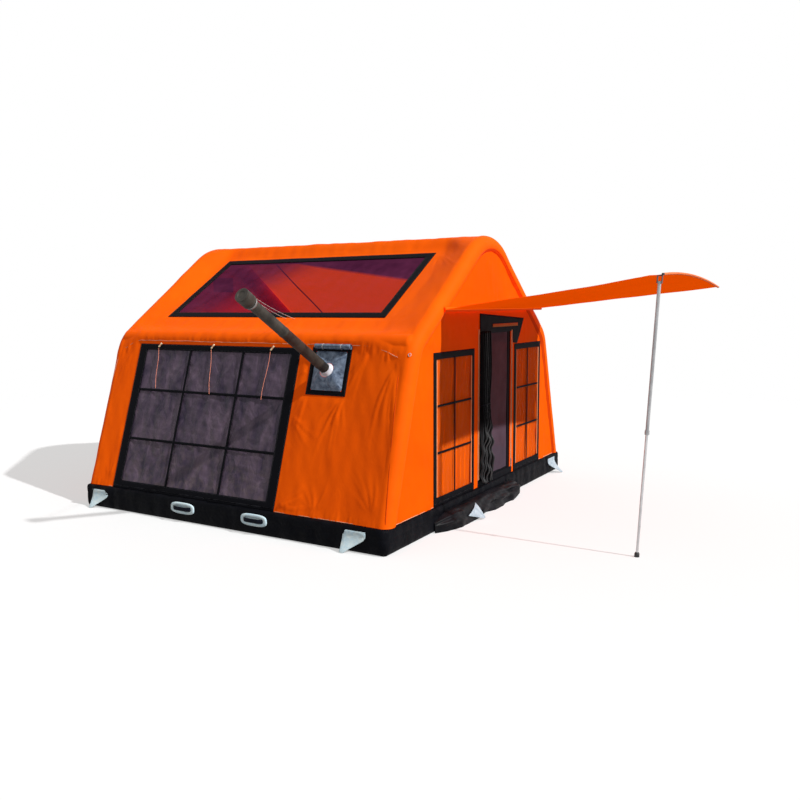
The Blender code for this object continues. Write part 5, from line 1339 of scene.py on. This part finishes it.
# The chimney: a thin steel flue pipe, blackened by heat, that comes out of the stove inside at an
# upward slant. A dark cap closes its end, and a steel band below the cap holds the two stays.
def sooty_metal(name, dark, light, roughness, metallic):
    made, tree, shader = shader_material(name, metallic=metallic)
    soot = use_group(tree, crinkle, Size=11.0)["Shade"]
    grain = noise(tree, object_place(tree), Scale=260.0, Detail=3.0)
    feed_all(tree, shader, Base_Color=ramp(tree, soot, (0.30, dark), (0.72, light)),
             Roughness=spread(tree, soot, roughness - 0.12, roughness + 0.18), Normal=bump(tree, grain, 0.25, 0.0005))
    return made


flue_metal = sooty_metal("blackened_steel", (0.016, 0.013, 0.010), (0.070, 0.060, 0.048), 0.55, 0.55)


def round_shell(name, start, profile, material):
    """A round shell about the pipe's axis; profile is (along, radius) pairs, closed into itself."""
    sides = 56
    faces = ring_faces(len(profile), sides, True)
    return mesh_object(name, ring_points(start, pipe_run, east, profile, sides), faces, material, 35)


def pipe_profile():
    """Outside with two rolled joints where sections are pushed together, then back along the bore."""
    outside = [(-0.25, 0.0405), (-0.248, 0.0410)]
    for joint in (0.115, 0.62):
        outside += [(joint - 0.012, 0.0410), (joint - 0.008, 0.0432), (joint, 0.0438), (joint + 0.008, 0.0432),
                    (joint + 0.012, 0.0410)]
    return outside + [(1.098, 0.0410), (1.10, 0.0405), (1.10, 0.0391), (-0.25, 0.0391)]


finish_piece(round_shell("flue_pipe", pipe_start, pipe_profile(), flue_metal), "tent", "flue_steel", "chimney_pipe")
seam = [pipe_start + pipe_run * along + pipe_up * 0.0412 for along in np.linspace(0.14, 0.60, 30)]
bead("pipe_seam", seam, 0.0011, flue_metal, "flue_steel")
cap_profile = ((0.0, 0.0418), (0.0, 0.0535), (0.002, 0.0550), (0.010, 0.0550), (0.013, 0.0535), (0.020, 0.0535),
               (0.023, 0.0550), (0.080, 0.0550), (0.083, 0.0538), (0.090, 0.0538), (0.094, 0.0550), (0.098, 0.0548),
               (0.100, 0.0525), (0.100, 0.0330), (0.096, 0.0300), (0.096, 0.0010), (0.0515, 0.0010), (0.0515, 0.0418))
cap_start = pipe_start + pipe_run * (pipe_outside - cap_lap)
finish_piece(round_shell("flue_cap", cap_start, cap_profile, flue_metal), "chimney_cap", "flue_steel", "chimney_cap")
band_metal = sooty_metal("stay_band_steel", (0.10, 0.10, 0.10), (0.28, 0.27, 0.26), 0.35, 0.85)
collar_start = cap_start - pipe_run * (collar_gap + collar_length)
collar_profile = ((0.0, 0.0413), (0.0, 0.0462), (0.0012, 0.0470), (0.0168, 0.0470), (0.018, 0.0462), (0.018, 0.0413))
finish_piece(round_shell("stay_band", collar_start, collar_profile, band_metal), "tent", "pole_metal", "stay_collar")


# The doorway: black zip tape up both sides and over the top, a black header patch above it, and a
# strip of orange-brown cloth on the header where the maker's words are on the real one.
zip_cloth = woven_cloth("zip_tape_cloth", (0.62, 0.22, 0.09), (0.86, 0.38, 0.18), 0.7, 800.0, 40.0, 0.001)


def strip_piece(name, place, low_u, high_u, low_v, high_v, lift, material=webbing, slot="black_pvc", thickness=0.003):
    us, vs = grid_lines(low_u, high_u, 0.02), grid_lines(low_v, high_v, 0.02)

    def surface(u, v):
        return place(u, v, lift + 0.0012 * (1 + ripple(u, v, 0.12, 101)) / 2)

    finish_piece(panel(name, us, vs, (), surface, material, thickness), "tent", slot)


zip_gap = (-0.215, 0.505, 0.0, 1.590)


def tape_surface(y, z):
    return gable_place(y, z, 0.0034 + 0.0008 * (1 + ripple(y, z, 0.16, 102)) / 2)


tape = panel("zip_tape", grid_lines(*door_rect[:2], 0.02, zip_gap[:2]),
             grid_lines(0.2015, door_rect[3], 0.02, zip_gap[3:]), (zip_gap,), tape_surface, zip_cloth, 0.0025)
finish_piece(tape, "tent", "orange_cloth", "door_zip_tape")
strip_piece("window_sill_tape", wall_place, *window_rect[:2], -0.006, 0.030, 0.0040)
for label, rect in zip(("left", "right"), end_rects):
    strip_piece(f"end_sill_tape_{label}", gable_place, *rect[:2], 0.194, 0.230, 0.0040)
strip_piece("threshold_tape", gable_place, *door_rect[:2], 0.194, 0.264, 0.0044)
coil_dark = moulded_plastic("zip_coil", (0.02, 0.02, 0.022), 0.4)


def zip_teeth(name, y):
    """A row of moulded zip teeth: small tapered blocks that alternate left and right."""
    low_z, high_z, pitch = 0.225, 1.580, 0.0042
    verts, faces = [], []
    for k in range(int((high_z - low_z) / pitch)):
        z, side = low_z + k * pitch, 0.0012 if k % 2 else -0.0012
        b = len(verts)
        for dx, size in ((0.0, 1.0), (0.0016, 0.85)):
            for dy, dz in ((-0.0030, -0.0014), (0.0030, -0.0014), (0.0030, 0.0014), (-0.0030, 0.0014)):
                verts.append((1.6186 + dx, y + side + dy * size, z + dz * size))
        faces += [(b, b + 1, b + 2, b + 3), (b + 4, b + 7, b + 6, b + 5)]
        faces += [(b + i, b + 4 + i, b + 4 + (i + 1) % 4, b + (i + 1) % 4) for i in range(4)]
    finish_piece(mesh_object(name, verts, faces, coil_dark, 30), "tent", "black_plastic")


zip_teeth("zip_teeth_right", 0.520)
zip_teeth("zip_teeth_left", -0.230)
header_marks = (0.498, 0.504, 0.532, 0.546, 0.647)


def header_surface(u, s):
    top = np.interp(u, header_rect[:2], (1.760, 1.704))
    low = np.interp(u, (*header_marks, header_rect[1]), (1.586, 1.597, 1.597, 1.475, 1.462, 1.703))
    return gable_place(u, low + (top - low) * s, 0.0062 + 0.0015 * (1 + ripple(u, s * 0.2, 0.15, 103)) / 2)


header = panel("header_patch", grid_lines(*header_rect[:2], 0.02, header_marks), grid_lines(0.0, 1.0, 0.1), (),
               header_surface, webbing, 0.003)
finish_piece(header, "tent", "black_pvc", "door_header")
label_cloth = woven_cloth("label_strip_cloth", (0.34, 0.10, 0.03), (0.50, 0.17, 0.06), 0.7, 800.0, 30.0, 0.001)
strip_piece("label_strip", gable_place, 0.054, 0.651, 1.632, 1.662, 0.0088, label_cloth, "orange_cloth", 0.001)


# The door leaf: black PVC-coated cloth, gathered to the hinge side in deep folds and tied back at
# mid-height. It is glossy and crumpled near the ground, where it is stiffest.
leaf_skin = coated_skin("door_leaf_skin", (0.0012, 0.0012, 0.0018), (0.0070, 0.0068, 0.0085), 0.34, 10.0, 0.008, 0.3,
                        (1.0, 1.0, 0.3), 0.05, 0.03)
leaf_low, leaf_high, leaf_folds = 0.232, 1.598, 5
leaf_tree = leaf_skin.node_tree
leaf_height = new_node(leaf_tree, "SeparateXYZ", object_place(leaf_tree)).outputs["Z"]
feed_all(leaf_tree, leaf_tree.nodes["Principled BSDF"],
         Specular_IOR_Level=spread(leaf_tree, leaf_height, 0.26, 0.03, 0.62, 0.80))


def leaf_surface(s, z):
    """The folded leaf: s runs through the folds, from the hinge side to the free edge."""
    share = (z - leaf_low) / (leaf_high - leaf_low)
    waist = 1.0 - 0.16 * np.exp(-((share - 0.52) / 0.13) ** 2) - 0.06 * share
    wide, deep = 0.218 * waist, 0.044 * (1.0 - 0.38 * share) * (0.55 + 0.45 * waist)
    turn = 2 * np.pi * leaf_folds * s + 0.9 * ripple(s * 0.2, z, 0.9, 104)
    y = -0.213 + wide * s + 0.010 * np.sin(2 * turn) * (1 - np.abs(2 * s - 1)) * waist
    low = smooth_share((0.46 - share) / 0.16)
    crumple = np.abs(0.006 * ripple(s * 0.6, z, 0.12, 105) * smooth_share((0.75 - share) / 0.5) * (1.0 - low))
    slack = np.maximum(0.020 + 0.016 * ripple(s * 0.20 + z * 0.6, z * 0.8, 0.21, 108), 0.0) * low
    x = 1.6215 + deep * (0.5 - 0.5 * np.cos(turn)) * (1.0 - 0.45 * low) + crumple + slack
    return x, y, z * 1.0


leaf = panel("door_leaf_cloth", np.linspace(0.0, 1.0, 141), grid_lines(leaf_low, leaf_high, 0.016), (),
             leaf_surface, leaf_skin, 0.0010, 180.0)
finish_piece(leaf, "tent", "black_pvc", "door_leaf")
angles = np.linspace(0.0, 2 * np.pi, 41)
tie = (1.6395, -0.124, 0.942) + np.stack([0.0215 * np.sin(angles), 0.094 * np.cos(angles), 0.004 * np.sin(angles)],
                                         axis=1)
bead("leaf_tie", tie, 0.0028, dark_grip, "black_pvc")


# The inner mesh door: dark net in a black tape border, hinged at the leaf's side. The net is one
# flat sheet whose fine holes are in its material, since single threads are too fine to model.
def net_material(name, colour, thread_share, pitch):
    made, tree, shader = shader_material(name, 0.8, gloss=0.03)
    place = object_place(tree)
    threads = reckon(tree, "MAXIMUM", stripes(tree, place, "Y", pitch), stripes(tree, place, "Z", pitch))
    fuzz = noise(tree, place, Scale=5.0, Detail=4.0)
    dark = tuple(c * 0.7 for c in colour)
    feed_all(tree, shader, Base_Color=ramp(tree, fuzz, (0.3, dark), (0.7, colour)),
             Alpha=spread(tree, threads, thread_share, 1.0, 0.45, 0.75), Normal=bump(tree, threads, 0.3, 0.0004))
    return made


dark_net = net_material("dark_net", (0.085, 0.060, 0.082), 0.95, 160.0)
border_piece("mesh_door_tape", inner_place, (-0.227, 0.517, 0.230, 1.632), (0.085, 0.05), 106, "mesh_door_border",
             lift=-0.0040, thickness=0.0035, body="mesh_door")


def net_surface(y, z):
    return inner_place(y, z, -0.0060 + 0.0022 * ripple(y, z * 0.4, 0.3, 107))


net_sheet = panel("mesh_door_sheet", grid_lines(-0.180, 0.470, 0.02), grid_lines(0.277, 1.585, 0.02), (), net_surface,
                  dark_net, 0.0, 180.0)
finish_piece(net_sheet, "mesh_door", "net", "mesh_door_net")


# The zip's slider: a cast metal body with a bridge, and a puller that hangs from it.
cast_metal = sooty_metal("cast_zinc", (0.16, 0.16, 0.17), (0.34, 0.34, 0.35), 0.32, 0.9)


def rounded_block(name, low, high, bevel, *replaced):
    """A box with softened edges."""
    work = bmesh.new()
    bmesh.ops.create_cube(work, size=1.0)
    for vert in work.verts:
        for axis in range(3):
            vert.co[axis] = (low[axis] + high[axis]) / 2 + vert.co[axis] * (high[axis] - low[axis])
    bmesh.ops.bevel(work, geom=work.edges[:], offset=bevel, segments=3, profile=0.6, affect="EDGES")
    finish_piece(add_mesh(bpy.data.meshes.new(name), work, cast_metal, 40), "zip", "pole_metal", *replaced)


rounded_block("slider_body", (1.6196, 0.5128, 0.312), (1.6240, 0.5272, 0.344), 0.0016, "zip_slider")
rounded_block("slider_bridge", (1.6236, 0.5170, 0.316), (1.6266, 0.5230, 0.338), 0.0013)
rounded_block("slider_puller", (1.6225, 0.5155, 0.262), (1.6250, 0.5245, 0.318), 0.0011)


# The awning: one sheet of orange cloth, sewn into a strip on the gable and stretched to a bowed
# rod in its outer hem. It bellies up a little, and creases run from the bracket's corner.
awning_slope = math.radians(8.15)
awning_out = np.array((math.cos(awning_slope), 0.0, math.sin(awning_slope)))
awning_up = np.array((-math.sin(awning_slope), 0.0, math.cos(awning_slope)))
awning_width, awning_reach = 2.17, 1.70


def awning_place(u, v, w):
    """u across from the near edge, v outwards from the root, w above the sheet's middle."""
    u, v, w = np.broadcast_arrays(u, v, w)
    across_share, out_share = u / awning_width, v / awning_reach
    lift = w + 0.045 * out_share * 4 * across_share * (1 - across_share) - 0.055 * out_share * across_share
    root = np.array((1.662, -0.96, 1.80))
    points = root + u[..., None] * np.array(north) + v[..., None] * awning_out + lift[..., None] * awning_up
    return points[..., 0], points[..., 1], points[..., 2]


awning_creases = (fan(0.02, 1.68, -85, -10, 10, 0.04, 0.7, 0.014, 0.0045, 110)
                  + fan(2.15, 1.68, 190, 265, 10, 0.04, 0.7, 0.014, 0.0045, 111)
                  + fan(0.02, 0.02, 10, 80, 8, 0.04, 0.6, 0.013, 0.0040, 112)
                  + fan(2.15, 0.02, 100, 170, 8, 0.04, 0.6, 0.013, 0.0040, 113))
awning_cloth = woven_cloth("orange_awning_cloth", orange_deep, orange_bright, crease_size=3.5,
                           glow=(0.46, 0.040, 0.0), gloss=0.0)


def awning_surface(u, v):
    hold = smooth_share(v / 0.25) * smooth_share((awning_reach - v) / 0.12)
    wave = 0.0022 * ripple(u, v, 0.55, 114) + folds(u, v, awning_creases)
    return awning_place(u, v, 0.0002 + wave * hold)


awning_sheet = panel("awning_cloth_sheet", grid_lines(0.0, awning_width, 0.02), grid_lines(0.0, 1.704, 0.02), (),
                     awning_surface, awning_cloth, 0.0, 180.0)
finish_piece(awning_sheet, "awning", "orange_cloth", "awning_sheet")
rod_route = [np.array(awning_place(u, 1.7083, 0.0)) for u in np.linspace(0.0, awning_width, 60)]
hem_cloth = woven_cloth("awning_hem_cloth", (0.80, 0.16, 0.05), (0.95, 0.26, 0.10), 0.66, 700.0, 20.0, 0.002)
bead("awning_hem", rod_route, 0.0092, hem_cloth, "orange_cloth", "awning", sides=14)
rod_end = np.array(north) * 0.03
rod_line = [rod_route[0] - rod_end, *rod_route, rod_route[-1] + rod_end]
bead("hem_rod", rod_line, 0.0080, black_nylon, "black_plastic", "awning", "awning_hem_rod", sides=14)
for index, low_u in enumerate((0.008, 2.150)):
    edge = [np.array(awning_surface(np.array(low_u), np.array(v))) for v in np.linspace(0.01, 1.69, 90)]
    stitch_row(f"awning_edge_stitches_{index + 1}", np.array(edge) + awning_up * 0.0006, awning_up, orange_thread,
               "awning")


def strip_surface(u, s):
    angle = np.pi * (s - 0.5)
    x = 1.6407 + 0.0185 * np.cos(angle) ** 0.35
    return x, u * 1.0, 1.80 + 0.0195 * np.sin(angle) * np.ones_like(u)


root_strip = panel("awning_seam_strip", grid_lines(-0.960, 1.210, 0.02), np.linspace(0.001, 0.999, 15), (),
                   strip_surface, orange_cloth, 0.0, 60.0)
finish_piece(root_strip, "tent", "orange_cloth", "awning_root_strip")


# The awning's pole: two thin powder-coated tubes, one inside the other, with a clamp at the joint
# and a rubber foot. It hangs on a pin between the cheeks of a bracket under the awning's corner.
pole_paint = sooty_metal("pole_paint", (0.34, 0.34, 0.35), (0.50, 0.50, 0.51), 0.38, 0.5)
bare_tube = sooty_metal("inner_tube", (0.50, 0.50, 0.51), (0.68, 0.68, 0.69), 0.30, 0.7)
repaint(pole_paint, "pole_upper_tube")
repaint(bare_tube, "pole_lower_tube")
repaint(black_nylon, "pole_foot", "awning_bracket")


# The studio: a wide pale floor that fades into white, and soft light. The key is a sun, low from
# the door end, so the gable and roof are bright, and the long wall and the awning's shade dark.
def seen_rays(tree):
    """1 for the rays that show the backdrop itself, to the camera, in metal or through film; 0 for light."""
    path = new_node(tree, "LightPath").outputs
    shown = reckon(tree, "MAXIMUM", path["Is Camera Ray"], path["Is Glossy Ray"])
    return reckon(tree, "MAXIMUM", shown, path["Is Transmission Ray"])


floor_paint, floor_tree, floor_shader = shader_material("studio_floor", 0.85, gloss=0.0)
floor_seen = seen_rays(floor_tree)
floor_reach = new_node(floor_tree, "VectorMath", object_place(floor_tree), operation="LENGTH").outputs["Value"]
feed_all(floor_tree, floor_shader, Emission_Strength=1.0, Alpha=spread(floor_tree, floor_reach, 1.0, 0.0, 5.0, 11.0),
         Base_Color=mixed_colour(floor_tree, floor_seen, (0.25, 0.24, 0.24), (0.50, 0.50, 0.50)),
         Emission_Color=mixed_colour(floor_tree, floor_seen, (0.0, 0.0, 0.0), (0.48, 0.48, 0.48)))
floor_corners = [(x * 14, y * 14, -0.0005) for x, y in ((-1, -1), (1, -1), (1, 1), (-1, 1))]
floor = mesh_object("studio_floor", floor_corners, [(0, 1, 2, 3)], floor_paint, 40)
world = bpy.data.worlds.new("studio")
world.use_nodes = True
sky = world.node_tree
backdrop = sky.nodes["Background"]
feed_all(sky, backdrop, Color=(1.0, 1.0, 1.0), Strength=1.0)
fill = new_node(sky, "Background", Color=(1.0, 0.99, 0.97), Strength=0.38)
mixed_sky = new_node(sky, "MixShader", seen_rays(sky), fill.outputs[0], backdrop.outputs[0])
sky.links.new(mixed_sky.outputs[0], sky.nodes["World Output"].inputs["Surface"])
bpy.context.scene.world = world
key_data = bpy.data.lights.new("key", "SUN")
key_data.energy = 3.6
key_data.angle = math.radians(1.2)
key = bpy.data.objects.new("key", key_data)
key.rotation_euler = Vector((-0.80, 0.0, -0.622)).to_track_quat("-Z", "Y").to_euler()
bpy.context.scene.collection.objects.link(key)
